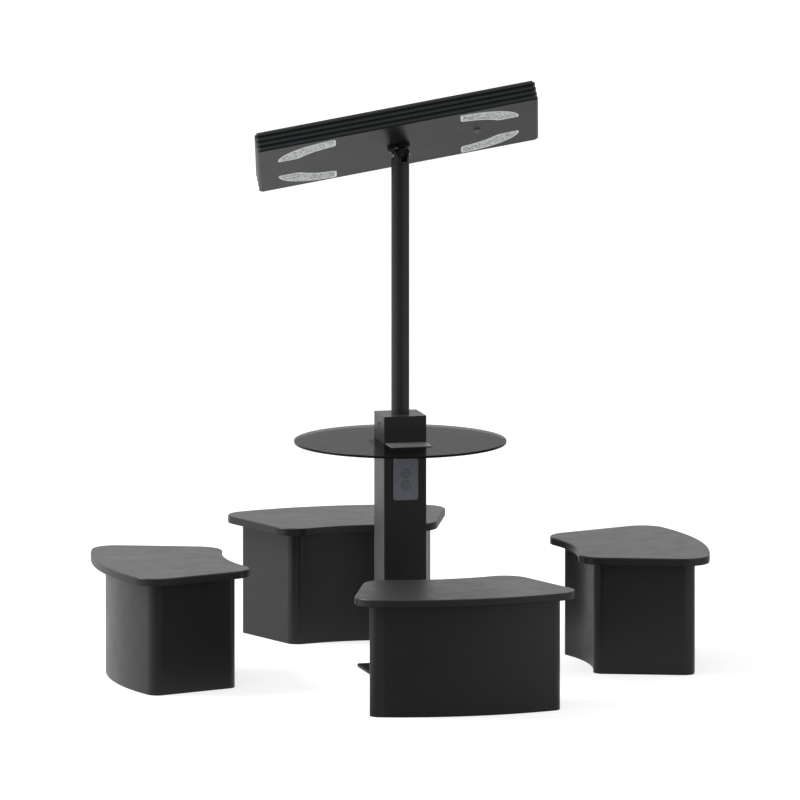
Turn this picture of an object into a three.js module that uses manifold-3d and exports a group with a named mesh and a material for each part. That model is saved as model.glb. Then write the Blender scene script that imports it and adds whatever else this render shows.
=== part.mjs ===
// A solar charging bench: a pedestal with a round glass table and a charging point, a mast with a tilting
// solar lamp head, and four stools.
// Units are millimetres and +Z is up. The origin is on the floor, on the axis of the pedestal and the mast.
// The charging point faces -Y. The stools stand at -Y, +X, +Y and -X.
import * as THREE from 'three';
import { mergeVertices } from 'three/addons/utils/BufferGeometryUtils.js';
import Module from 'manifold-3d';

const wasm = await Module();
wasm.setup();

// Sizes that several groups share
const fit = 0.3;
const overrun = 2;
const degree = Math.PI / 180;
const hexagonCornerShare = 1 / Math.sqrt(3);
const mergeShare = 1 / 3000;
const nearShare = 1 / 10;
const roundSegments = 32;
const smallSegments = 12;
const hexagonSides = 6;
const tableSegments = 76;
const hiddenSegments = 18;
const cornerSteps = 2;
const lensSteps = 4;

// Sizes of the pedestal
const sole = { side: 270, thickness: 12, cornerRadius: 8, boltInset: 27, edge: 1.5 };
const anchor = { shank: 12, bore: 13, head: 24, sink: 0.5, lift: 1 };
const anchorSocket = { acrossFlats: 8, depth: 4 };
const column = { side: 164, wall: 4, cornerRadius: 5, height: 964 };
const cap = { thickness: 4, edge: 1.2, skirtDepth: 44, skirtWall: 3, mastGap: 0.5 };
const capScrew = { belowTop: 36, shank: 2.5, head: 5.5, headHeight: 2.5, reach: 4 };
const doorway = { width: 112, height: 400, bottom: 110, cornerRadius: 6 };
const door = { lap: 10, thickness: 3, seal: 0.6, cornerRadius: 8 };
const hinge = { radius: 5, pin: 2.5, reach: 5.6, length: 26, fromEnd: 40, pinOver: 3, faceGap: 0.4 };
const lock = { radius: 9, faceRadius: 11, faceThickness: 3, inset: 13.5, depth: 12, neck: 4.5 };
const lockCam = { length: 28, width: 12, thickness: 2.5 };
const keyway = { width: 2, height: 9, depth: 1.5 };
const shelf = { thickness: 4, height: 92, lip: 16, lipWall: 3 };
const battery = { width: 104, depth: 84, height: 230, corner: 6, edge: 3, forward: 8 };
const terminal = { radius: 7, height: 8, spacing: 56 };
const controller = { width: 90, depth: 30, height: 120, bottom: 390 };
const coolingFin = { width: 4, depth: 6, count: 6 };
const cable = { diameter: 8, bendShare: 0.45, endGap: 1, steps: 20, sides: 4 };
const cableSlot = { width: 30, depth: 20 };

// Sizes of the charging point
const panel = { width: 94, height: 156, belowTable: 137, cornerRadius: 9, floor: 3, rim: 3, rimHeight: 6 };
const panelHole = { width: 76, height: 120, cornerRadius: 4 };
const socket = { radius: 17, face: 21, faceThickness: 2.4, depth: 34, spacing: 45, well: 13.5, wellDepth: 8 };
const port = { width: 13, height: 5.5, depth: 5, spacing: 11 };
const cover = { thickness: 3, gap: 0.4, cornerRadius: 9, pullWidth: 31, pullDepth: 2, pullHeight: 4 };
const coverHinge = { radius: 3.6, pin: 1.5, lugLength: 12, lugInset: 2, drop: 4.5, lugGap: 0.5 };
const powerBox = { width: 70, depth: 28, height: 112, corner: 3, edge: 1.5 };

// Sizes of the table
const table = { radius: 400, thickness: 10, belowCap: 98, edge: 1.6, holeGap: 1.5 };
const support = { width: 22, thickness: 6, gasket: 2, gasketInset: 3 };
const frontClamp = { width: 158, depth: 108, thickness: 3, cornerRadius: 3, edge: 0.8 };
const rearClamp = { width: 100, depth: 40, thickness: 3, cornerRadius: 3, edge: 0.8 };

// Sizes of the mast and its head joint
const mast = { diameter: 68, wall: 4, inColumn: 116 };
const mastSeat = { plate: 8, cupWall: 8, cupHeight: 60 };
const joint = { height: 1962, axisTurn: 15.3, tilt: 23.2, toFlange: 22, boltRadius: 6 };
const fork = { collar: 9, drop: 24, plug: 50, gap: 24, cheek: 15, cheekRadius: 20, shoulder: 15, bore: 8 };
const lug = { flangeRadius: 43, flangeThickness: 12, edge: 2, radius: 17, side: 0.4, boltCircle: 34 };
const flangeBolt = { shank: 8, head: 13, headHeight: 4, reach: 9 };
const tiltBolt = { head: 19, headHeight: 8, washer: 12, washerThickness: 2, seatGap: 1 };

// Sizes of the lamp head
const head = { length: 1070, width: 720, thickness: 75, turn: -27.3, floor: 4, wall: 18 };
const headCorner = { radius: 17, least: 1 };
const ridge = { count: 4, depth: 8, flatShare: 0.42, slopeShare: 0.2 };
const laminate = { ledge: 7, thickness: 3, glass: 4, inset: 1, cornerRadius: 3 };
const lens = { outerX: 223, outerY: 198, innerX: 148, innerY: 100, bulge: 22, corner: 13, proud: 3, lip: 1 };
const lensSlantShare = 1.2;
const lensSeat = { fromCentreX: 238, fromCentreY: 126, flange: 7, flangeThickness: 3, gap: 0.5, spread: 3 };
const ledBoard = { thickness: 2 };
const sensor = { x: 301, y: -18, radius: 15, dome: 10, stem: 9, stemLength: 12, lip: 2.5 };
const sensorRimShares = [0.35, 0.7, 0.92, 1];
const driver = { length: 150, width: 70, height: 32, corner: 3, edge: 1.5, x: -120 };

// Sizes of the stools
const stool = { height: 452, board: 29, innerRadius: 671, outerRadius: 1165 };
const fan = { halfWidth: 309, widthAt: 685, splay: 19.4, innerCorner: 100, outerCorner: 95, edge: 5 };
const shell = { inset: 56, wall: 3, top: 3 };
const floorPlate = { thickness: 5, gap: 0.4 };
const fanSteps = { outer: 12, inner: 8, corner: 3 };

// Finishes
function finish(color, roughness, metalness) {
  return new THREE.MeshStandardMaterial({ color, roughness, metalness });
}

const charcoal = finish(0x3a3c3d, 0.45, 0.5);
const charcoalDark = finish(0x26282a, 0.5, 0.4);
const zinc = finish(0xb4b8ba, 0.35, 0.9);
const blackSteel = finish(0x1f2022, 0.4, 0.6);
const castBlack = finish(0x141516, 0.5, 0.3);
const coverBlue = finish(0x6b7484, 0.25, 0.0);
const plasticDark = finish(0x22262c, 0.5, 0.0);
const plasticGrey = finish(0x6d7276, 0.55, 0.0);
const batteryBlue = finish(0x2c4a78, 0.5, 0.0);
const rubber = finish(0x151515, 0.85, 0.0);
const tintedGlass = finish(0x4a4e50, 0.06, 0.0);
tintedGlass.transparent = true;
tintedGlass.opacity = 0.6;
const clearGlass = finish(0xcfe0e8, 0.05, 0.0);
clearGlass.transparent = true;
clearGlass.opacity = 0.35;
const cells = finish(0x10182c, 0.3, 0.2);
const crystal = finish(0xdfe3e4, 0.2, 0.0);
const ledWhite = finish(0xf2f2ea, 0.4, 0.0);

const bench = new THREE.Group();
bench.name = 'solar_charging_bench';

// Solids and booleans
function solid(geometry) {
  const bare = geometry.clone();
  for (const name of Object.keys(bare.attributes)) {
    if (name !== 'position') bare.deleteAttribute(name);
  }
  const merged = mergeVertices(bare, fit * mergeShare);
  const mesh = new wasm.Mesh({
    numProp: 3,
    vertProperties: new Float32Array(merged.attributes.position.array),
    triVerts: new Uint32Array(merged.index.array),
  });
  return new wasm.Manifold(mesh);
}

function unpack(manifold) {
  const mesh = manifold.getMesh();
  const geometry = new THREE.BufferGeometry();
  geometry.setAttribute('position', new THREE.BufferAttribute(mesh.vertProperties, 3));
  geometry.setIndex(new THREE.BufferAttribute(mesh.triVerts, 1));
  geometry.computeVertexNormals();
  return geometry;
}

function cut(body, ...tools) {
  return unpack(tools.reduce((left, tool) => left.subtract(solid(tool)), solid(body)));
}

function join(...bodies) {
  return unpack(bodies.slice(1).reduce((sum, body) => sum.add(solid(body)), solid(bodies[0])));
}

function common(a, b) {
  return unpack(solid(a).intersect(solid(b)));
}

function move(geometry, x, y, z) {
  return geometry.translate(x, y, z);
}

// A box centred on the Z axis that stands on z
function block(width, depth, height, z = 0) {
  return move(new THREE.BoxGeometry(width, depth, height), 0, 0, z + height / 2);
}

// An upright cylinder that stands on z
function post(radius, height, z = 0, segments = roundSegments) {
  const geometry = new THREE.CylinderGeometry(radius, radius, height, segments);
  return move(geometry.rotateX(Math.PI / 2), 0, 0, z + height / 2);
}

// A tool for a round hole whose flats clear the radius all round
function bore(radius, height, z, segments = smallSegments) {
  return post(radius / Math.cos(Math.PI / segments), height, z, segments);
}

// A hexagon head across its flats
function hexagon(acrossFlats, height, z = 0) {
  return post(acrossFlats * hexagonCornerShare, height, z, hexagonSides);
}

function roundedRectangle(width, depth, radius) {
  const r = Math.max(radius, 0);
  const x = width / 2;
  const y = depth / 2;
  const shape = new THREE.Shape();
  shape.moveTo(x, -y + r);
  shape.lineTo(x, y - r);
  if (r > 0) shape.absarc(x - r, y - r, r, 0, Math.PI / 2);
  shape.lineTo(-x + r, y);
  if (r > 0) shape.absarc(-x + r, y - r, r, Math.PI / 2, Math.PI);
  shape.lineTo(-x, -y + r);
  if (r > 0) shape.absarc(-x + r, -y + r, r, Math.PI, Math.PI * 1.5);
  shape.lineTo(x - r, -y);
  if (r > 0) shape.absarc(x - r, -y + r, r, Math.PI * 1.5, Math.PI * 2);
  return shape;
}

function prism(shape, height, z = 0, curveSegments = cornerSteps) {
  const geometry = new THREE.ExtrudeGeometry(shape, { depth: height, bevelEnabled: false, curveSegments });
  return move(geometry, 0, 0, z);
}

// A plate with round corners that stands on z
function plate(width, depth, radius, height, z = 0) {
  return prism(roundedRectangle(width, depth, radius), height, z);
}

// A closed body through level outlines of equal length, from the lowest to the highest
function loft(levels) {
  const count = levels[0].points.length;
  const positions = levels.flatMap(({ points, z }) => points.flatMap((p) => [p.x, p.y, z]));
  const faces = [];
  for (let level = 0; level < levels.length - 1; level += 1) {
    const low = level * count;
    const high = low + count;
    for (let i = 0; i < count; i += 1) {
      const next = (i + 1) % count;
      faces.push(low + i, low + next, high + next);
      faces.push(low + i, high + next, high + i);
    }
  }
  const top = (levels.length - 1) * count;
  for (const [a, b, c] of THREE.ShapeUtils.triangulateShape(levels[0].points, [])) faces.push(a, c, b);
  for (const [a, b, c] of THREE.ShapeUtils.triangulateShape(levels.at(-1).points, [])) {
    faces.push(top + a, top + b, top + c);
  }
  const geometry = new THREE.BufferGeometry();
  geometry.setAttribute('position', new THREE.Float32BufferAttribute(positions, 3));
  geometry.setIndex(faces);
  geometry.computeVertexNormals();
  return geometry;
}

// A plate whose upper edge is eased
function easedPlate(width, depth, radius, height, z, edge) {
  const outline = (inset) => openRing(roundedRectangle(width - 2 * inset, depth - 2 * inset, radius - inset));
  return loft([
    { points: outline(0), z },
    { points: outline(0), z: z + height - edge },
    { points: outline(edge), z: z + height },
  ]);
}

// A closed run of points with no point repeated
function distinct(points) {
  return points.filter((p, i) => p.distanceTo(points[(i + 1) % points.length]) > fit * nearShare);
}

// The points of a closed outline
function openRing(shape, divisions = cornerSteps) {
  return distinct(shape.getPoints(divisions));
}

function piece(parent, name, geometry, material) {
  const mesh = new THREE.Mesh(geometry, material);
  mesh.name = name;
  parent.add(mesh);
  return mesh;
}

// Heights and faces that follow from the sizes
const half = column.side / 2;
const columnInside = column.side - 2 * column.wall;
const columnTop = sole.thickness + column.height;
const tableTop = columnTop - table.belowCap;
const panelMiddle = tableTop - panel.belowTable;
const socketLevels = [panelMiddle - socket.spacing / 2, panelMiddle + socket.spacing / 2];
const mastBottom = columnTop - mast.inColumn;
const front = -half;
const rear = half;

// The square outline round the column at a distance from its faces
function columnOutline(distance) {
  const side = column.side + 2 * distance;
  return roundedRectangle(side, side, column.cornerRadius + distance);
}

// A countersunk body round the Z axis: a straight shank from low, then a cone of 45 degrees up to high
function countersunk(shankRadius, headRadius, low, neck, high) {
  const profile = [
    new THREE.Vector2(0, low),
    new THREE.Vector2(shankRadius, low),
    new THREE.Vector2(shankRadius, neck),
    new THREE.Vector2(headRadius, high),
    new THREE.Vector2(0, high),
  ];
  return new THREE.LatheGeometry(profile, smallSegments).rotateX(Math.PI / 2);
}

// Four anchor screws sit in the sole with their heads just below its top, so that nothing stands on it
function baseParts() {
  const reach = sole.side / 2 - sole.boltInset;
  const headTop = sole.thickness - anchor.sink;
  const neck = headTop - (anchor.head - anchor.shank) / 2;
  const holeTop = sole.thickness + overrun;
  const holeRadius = anchor.bore / 2 + holeTop - neck;
  let body = easedPlate(sole.side, sole.side, sole.cornerRadius, sole.thickness, 0, sole.edge);
  const corners = [[-1, -1], [1, -1], [1, 1], [-1, 1]];
  for (const [x, y] of corners) {
    const hole = countersunk(anchor.bore / 2, holeRadius, -overrun, neck, holeTop);
    body = cut(body, move(hole, x * reach, y * reach, 0));
  }
  piece(bench, 'base_plate', body, charcoalDark);
  corners.forEach(([x, y], index) => {
    const blank = countersunk(anchor.shank / 2, anchor.head / 2, anchor.lift, neck, headTop);
    const socket = hexagon(anchorSocket.acrossFlats, anchorSocket.depth + overrun, headTop - anchorSocket.depth);
    const screw = cut(blank, socket);
    piece(bench, `anchor_bolt_${index + 1}`, screw, blackSteel).position.set(x * reach, y * reach, 0);
  });
}

// The rear door turns on one long pin in two pairs of knuckles
const doorHeight = doorway.height + 2 * door.lap;
const doorWidth = doorway.width + 2 * door.lap;
const doorBottom = doorway.bottom - door.lap;
const hingeX = -(doorWidth / 2 + hinge.radius + hinge.faceGap);
const hingeY = rear + hinge.reach;
const hingeLevels = [doorBottom + hinge.fromEnd, doorBottom + doorHeight - hinge.fromEnd];

function knuckle(low) {
  return move(post(hinge.radius, hinge.length, low, smallSegments), hingeX, hingeY, 0);
}

function pinHole(low) {
  return move(bore(hinge.pin + fit, hinge.length + 2 * overrun, low - overrun), hingeX, hingeY, 0);
}

function columnParts() {
  let body = prism(columnOutline(0), column.height, sole.thickness);
  const inner = prism(columnOutline(-column.wall), column.height + 2 * overrun, sole.thickness - overrun);
  const doorHole = plate(doorway.width, doorway.height, doorway.cornerRadius, 2 * column.wall + overrun);
  doorHole.rotateX(Math.PI / 2);
  move(doorHole, 0, rear + overrun, doorway.bottom + doorway.height / 2);
  body = cut(body, inner, doorHole);
  const opening = plate(panelHole.width, panelHole.height, panelHole.cornerRadius, column.wall + 2 * overrun);
  body = cut(body, move(faceFront(opening), 0, front + column.wall + overrun, panelMiddle));
  for (const level of hingeLevels) {
    const low = level - hinge.length - hinge.faceGap / 2;
    const arm = block(hinge.radius, hinge.reach, hinge.length, low);
    move(arm, hingeX, rear + hinge.reach / 2 - fit, 0);
    body = cut(join(body, arm, knuckle(low)), pinHole(low));
  }
  const left = -column.side / 2;
  const gripLength = column.wall + 2 * fit + cap.skirtWall;
  const screwLevel = columnTop + cap.thickness - capScrew.belowTop;
  const screwHole = bore(capScrew.shank + fit, gripLength + 2 * overrun, -overrun).rotateY(Math.PI / 2);
  move(screwHole, left, 0, screwLevel);
  piece(bench, 'pedestal_column', cut(body, screwHole), charcoal);

  const screw = join(
    post(capScrew.head, capScrew.headHeight, -capScrew.headHeight, smallSegments),
    post(capScrew.shank, gripLength + capScrew.reach + fit, -fit, smallSegments),
  ).rotateY(Math.PI / 2);
  piece(bench, 'cap_screw', move(screw, left - fit, 0, screwLevel), blackSteel);

  const lid = easedPlate(column.side, column.side, column.cornerRadius, cap.thickness, columnTop, cap.edge);
  const skirtSide = columnInside - 2 * fit;
  const skirtInside = skirtSide - 2 * cap.skirtWall;
  const skirt = cut(
    block(skirtSide, skirtSide, cap.skirtDepth + fit, columnTop - cap.skirtDepth),
    block(skirtInside, skirtInside, cap.skirtDepth, columnTop - cap.skirtDepth - fit),
  );
  const mastHole = post(mast.diameter / 2 + cap.mastGap, cap.skirtDepth + cap.thickness + 2 * overrun);
  move(mastHole, 0, 0, columnTop - cap.skirtDepth - overrun);
  const lidBody = cut(join(lid, skirt), mastHole, screwHole);
  piece(bench, 'pedestal_cap', lidBody, charcoal);
}

function doorParts() {
  const leafFront = rear + door.seal;
  const leaf = plate(doorWidth, doorHeight, door.cornerRadius, door.thickness);
  leaf.rotateX(Math.PI / 2);
  move(leaf, 0, leafFront + door.thickness, doorBottom + doorHeight / 2);
  const lockX = doorway.width / 2 - lock.inset;
  const lockZ = doorway.bottom + doorway.height / 2;
  const lockHole = faceFront(bore(lock.radius + fit, door.thickness + 2 * overrun, 0));
  let body = cut(leaf, move(lockHole, lockX, leafFront + door.thickness + overrun, lockZ));
  for (const level of hingeLevels) {
    const low = level + hinge.faceGap / 2;
    const webWidth = -hingeX - doorWidth / 2 + hinge.radius;
    const web = block(webWidth, door.thickness, hinge.length, low);
    move(web, (hingeX - doorWidth / 2 + hinge.radius) / 2, leafFront + door.thickness / 2, 0);
    body = cut(join(body, web, knuckle(low)), pinHole(low));
  }
  piece(bench, 'service_door', body, charcoal);

  const pinBottom = hingeLevels[0] - hinge.length - hinge.pinOver;
  const pinTop = hingeLevels[1] + hinge.length + hinge.pinOver;
  const pin = post(hinge.pin, pinTop - pinBottom, pinBottom, smallSegments);
  piece(bench, 'door_hinge_pin', move(pin, hingeX, hingeY, 0), zinc);

  const barrelLength = lock.depth + door.thickness + door.seal;
  const barrel = post(lock.radius, barrelLength, 0, smallSegments);
  const faceTop = barrelLength + fit + lock.faceThickness;
  const face = cut(
    post(lock.faceRadius, lock.faceThickness, barrelLength + fit, smallSegments),
    block(keyway.width, keyway.height, keyway.depth + overrun, faceTop - keyway.depth),
  );
  const neck = post(lock.neck, 2 * fit + overrun, barrelLength - overrun / 2, smallSegments);
  const cam = block(lockCam.width, lockCam.length, lockCam.thickness, -lockCam.thickness + fit);
  move(cam, 0, lockCam.length / 2 - lockCam.width / 2, 0);
  const lockBody = join(barrel, neck, face, cam).rotateX(-Math.PI / 2);
  piece(bench, 'door_lock', lockBody, zinc).position.set(lockX, rear - lock.depth, lockZ);
}

function innerParts() {
  const side = columnInside - 2 * fit;
  const top = block(side, side, shelf.thickness, shelf.height);
  const lipLow = shelf.height - shelf.lip;
  const lips = cut(
    block(side, side, shelf.lip + fit, lipLow),
    block(side - 2 * shelf.lipWall, side + overrun, shelf.lip + 2 * overrun, lipLow - 2 * overrun),
  );
  const slot = block(cableSlot.width, cableSlot.depth + overrun, shelf.thickness + 2 * overrun);
  move(slot, 0, (cableSlot.depth - overrun - side) / 2, shelf.height - overrun);
  piece(bench, 'battery_shelf', cut(join(top, lips), slot), charcoalDark);

  const batteryBase = shelf.height + shelf.thickness;
  const batteryTop = batteryBase + battery.height;
  const { width, depth, height, corner, edge } = battery;
  let pack = easedPlate(width, depth, corner, height, batteryBase, edge);
  for (const x of [-terminal.spacing / 2, terminal.spacing / 2]) {
    const stud = post(terminal.radius, terminal.height + fit, batteryTop - fit, smallSegments);
    pack = join(pack, move(stud, x, 0, 0));
  }
  piece(bench, 'battery_pack', pack, batteryBlue).position.set(0, -battery.forward, 0);

  const caseDepth = controller.depth - coolingFin.depth;
  const wallFace = front + column.wall + fit;
  let unit = block(controller.width, caseDepth, controller.height, controller.bottom);
  const pitch = (controller.width - coolingFin.width) / (coolingFin.count - 1);
  for (let i = 0; i < coolingFin.count; i += 1) {
    const fin = block(coolingFin.width, coolingFin.depth + fit, controller.height, controller.bottom);
    const x = -controller.width / 2 + coolingFin.width / 2 + i * pitch;
    unit = join(unit, move(fin, x, caseDepth / 2 + coolingFin.depth / 2 - fit / 2, 0));
  }
  piece(bench, 'charge_controller', unit, plasticGrey).position.set(0, wallFace + caseDepth / 2, 0);

  const start = new THREE.Vector3(0, wallFace + caseDepth / 2, controller.bottom + controller.height + fit);
  const rise = panelMiddle - panel.height / 2 - start.z;
  const cableTop = joint.height - fork.drop - fork.collar - fork.plug - cable.endGap;
  const bend = rise * cable.bendShare;
  const route = new THREE.CurvePath();
  const first = new THREE.Vector3(0, start.y, start.z + cable.diameter);
  const last = new THREE.Vector3(0, 0, start.z + rise);
  route.add(new THREE.LineCurve3(start, first));
  route.add(new THREE.CubicBezierCurve3(
    first,
    new THREE.Vector3(0, start.y, first.z + bend),
    new THREE.Vector3(0, 0, last.z - bend),
    last,
  ));
  route.add(new THREE.LineCurve3(last, new THREE.Vector3(0, 0, cableTop)));
  const section = new THREE.Shape().absarc(0, 0, cable.diameter / 2, 0, Math.PI * 2);
  const lead = new THREE.ExtrudeGeometry(section, {
    steps: cable.steps,
    curveSegments: cable.sides,
    extrudePath: route,
    bevelEnabled: false,
  });
  piece(bench, 'mast_cable', lead, rubber);
}

// The charging point on the front face
const panelTop = panelMiddle + panel.height / 2;
const rimFace = front - panel.rimHeight;
const coverPinY = front - coverHinge.drop;
const coverPinZ = panelTop + coverHinge.radius + fit;

// A body drawn flat in X and Y is stood up so that its height points to -Y
function faceFront(geometry) {
  return geometry.rotateX(Math.PI / 2);
}

function frontPlate(width, height, radius, thickness, backY) {
  return move(faceFront(plate(width, height, radius, thickness)), 0, backY, panelMiddle);
}

function barAlongX(radius, length, x, y, z, segments = smallSegments) {
  const bar = post(radius, length, -length / 2, segments).rotateY(Math.PI / 2);
  return move(bar, x, y, z);
}

function chargingParts() {
  const rimWidth = panel.width - 2 * panel.rim;
  const rimHeight = panel.height - 2 * panel.rim;
  const tray = cut(
    frontPlate(panel.width, panel.height, panel.cornerRadius, panel.rimHeight, front),
    frontPlate(rimWidth, rimHeight, panel.cornerRadius - panel.rim, panel.rimHeight, front - panel.floor),
  );
  const lugX = panel.width / 2 - coverHinge.lugInset - coverHinge.lugLength / 2;
  let frame = tray;
  for (const x of [-lugX, lugX]) {
    const barrel = barAlongX(coverHinge.radius, coverHinge.lugLength, x, coverPinY, coverPinZ);
    const footDepth = panel.rimHeight - panel.floor / 2;
    const foot = block(coverHinge.lugLength, footDepth, coverPinZ - panelTop + panel.rim / 2);
    move(foot, x, front - footDepth / 2, panelTop - panel.rim / 2);
    frame = join(frame, foot, barrel);
  }
  frame = cut(frame, barAlongX(coverHinge.pin + fit, panel.width + overrun, 0, coverPinY, coverPinZ));
  for (const z of socketLevels) {
    const hole = faceFront(post(socket.radius + fit, panel.floor + 2 * overrun, -overrun));
    frame = cut(frame, move(hole, 0, front, z));
  }
  piece(bench, 'socket_frame', frame, charcoalDark);

  const names = ['socket_lower', 'socket_upper'];
  names.forEach((name, index) => {
    const backY = front - panel.floor - fit;
    const face = faceFront(post(socket.face - fit, socket.faceThickness, 0));
    const barrel = faceFront(post(socket.radius, socket.depth, -socket.depth + fit));
    const floor = socket.faceThickness - socket.wellDepth;
    let body = cut(join(face, barrel), faceFront(post(socket.well, socket.wellDepth + overrun, floor)));
    for (const side of [-1, 1]) {
      const slot = block(port.width, port.height, port.depth + overrun, floor - port.depth);
      body = cut(body, faceFront(move(slot, 0, side * port.spacing / 2, 0)));
    }
    piece(bench, name, body, plasticDark).position.set(0, backY, socketLevels[index]);
  });

  const coverBack = rimFace - cover.gap;
  const lid = frontPlate(panel.width, panel.height, cover.cornerRadius, cover.thickness, coverBack);
  const barrelLength = 2 * (lugX - coverHinge.lugLength / 2 - coverHinge.lugGap);
  const barrel = barAlongX(coverHinge.radius, barrelLength, 0, coverPinY, coverPinZ);
  const web = block(barrelLength, cover.thickness, coverPinZ - panelTop + panel.rim);
  move(web, 0, coverBack - cover.thickness / 2, panelTop - panel.rim);
  const arm = block(barrelLength, coverPinY - coverBack + cover.thickness, coverHinge.radius);
  move(arm, 0, (coverPinY + coverBack - cover.thickness) / 2, coverPinZ - coverHinge.radius / 2);
  const pull = block(cover.pullWidth, cover.pullDepth, cover.pullHeight);
  const pullLow = panelMiddle - panel.height / 2 + cover.pullHeight;
  move(pull, 0, coverBack - cover.thickness - cover.pullDepth / 2 + fit, pullLow);
  const flap = cut(
    join(lid, web, arm, barrel, pull),
    barAlongX(coverHinge.pin + fit, panel.width + overrun, 0, coverPinY, coverPinZ),
  );
  piece(bench, 'socket_cover', flap, coverBlue);
  const pinLength = 2 * (lugX + coverHinge.lugLength / 2);
  piece(bench, 'cover_pin', barAlongX(coverHinge.pin, pinLength, 0, coverPinY, coverPinZ), zinc);

  const socketBack = front - panel.floor - fit + socket.depth - fit;
  const unit = easedPlate(powerBox.width, powerBox.height, powerBox.corner, powerBox.depth, 0, powerBox.edge);
  unit.rotateX(-Math.PI / 2);
  piece(bench, 'socket_power_module', move(unit, 0, socketBack + fit, panelMiddle), plasticGrey);
}

// The glass table lies on a gasket and a frame that is welded round the column
function tableParts() {
  const underside = tableTop - table.thickness;
  const frameTop = underside - support.gasket;
  const ring = cut(
    prism(columnOutline(support.width), support.thickness, frameTop - support.thickness),
    prism(columnOutline(fit), support.thickness + 2 * overrun, frameTop - support.thickness - overrun),
  );
  piece(bench, 'table_support_frame', ring, charcoal);
  const gasket = cut(
    prism(columnOutline(support.width - support.gasketInset), support.gasket, frameTop),
    prism(columnOutline(support.gasketInset), support.gasket + 2 * overrun, frameTop - overrun),
  );
  piece(bench, 'table_gasket', gasket, rubber);
  const r = table.radius;
  const e = table.edge;
  const profile = [
    new THREE.Vector2(0, 0),
    new THREE.Vector2(r - e, 0),
    new THREE.Vector2(r, e),
    new THREE.Vector2(r, table.thickness - e),
    new THREE.Vector2(r - e, table.thickness),
    new THREE.Vector2(0, table.thickness),
  ];
  const disc = new THREE.LatheGeometry(profile, tableSegments).rotateX(Math.PI / 2);
  const hole = prism(columnOutline(table.holeGap), table.thickness + 2 * overrun, -overrun);
  piece(bench, 'glass_table', cut(disc, hole), tintedGlass).position.z = underside;

  const clamps = [['front', frontClamp, -1], ['rear', rearClamp, 1]];
  for (const [name, size, side] of clamps) {
    const body = easedPlate(size.width, size.depth, size.cornerRadius, size.thickness, tableTop, size.edge);
    piece(bench, `table_clamp_${name}`, body, zinc).position.y = side * (half + fit + size.depth / 2);
  }
}

// The mast stands in a cup in the column and ends under the fork
const mastTop = joint.height - fork.drop - fork.collar;
const mastBore = mast.diameter / 2 - mast.wall;

function mastParts() {
  const side = columnInside - 2 * fit;
  const seatPlate = block(side, side, mastSeat.plate, mastBottom - mastSeat.plate);
  const cupRadius = mast.diameter / 2 + fit;
  const cup = post(cupRadius + mastSeat.cupWall, mastSeat.cupHeight + fit, mastBottom - fit, hiddenSegments);
  const well = post(cupRadius, mastSeat.cupHeight + overrun, mastBottom);
  const plateBottom = mastBottom - mastSeat.plate;
  const cableHole = post(cable.diameter, mastSeat.plate + 2 * overrun, plateBottom - overrun, smallSegments);
  piece(bench, 'mast_seat', cut(join(seatPlate, cup), well, cableHole), charcoalDark);
  const length = mastTop - mastBottom;
  const tube = cut(
    post(mast.diameter / 2, length, mastBottom),
    post(mastBore, length + 2 * overrun, mastBottom - overrun),
  );
  piece(bench, 'mast_tube', tube, charcoal);
}

// The fork turns about the mast, and its bolt carries the tilting head
const swivelGroup = new THREE.Group();
swivelGroup.position.z = joint.height;
swivelGroup.rotation.z = joint.axisTurn * degree;
bench.add(swivelGroup);
const tiltGroup = new THREE.Group();
tiltGroup.rotation.x = -joint.tilt * degree;
swivelGroup.add(tiltGroup);
const headGroup = new THREE.Group();
headGroup.position.z = joint.toFlange + lug.flangeThickness + fit;
headGroup.rotation.z = head.turn * degree;
tiltGroup.add(headGroup);

// The cheeks seen along the bolt: a round top that runs down to a shoulder on each side
function cheekOutline() {
  const half = mast.diameter / 2;
  const reach = Math.hypot(half, fork.shoulder);
  const touch = Math.acos(fork.cheekRadius / reach) - Math.atan2(fork.shoulder, half);
  const shape = new THREE.Shape();
  shape.moveTo(-half, -fork.drop - fit);
  shape.lineTo(half, -fork.drop - fit);
  shape.lineTo(half, -fork.shoulder);
  shape.absarc(0, 0, fork.cheekRadius, touch, Math.PI - touch, false);
  shape.lineTo(-half, -fork.shoulder);
  return shape;
}

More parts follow.
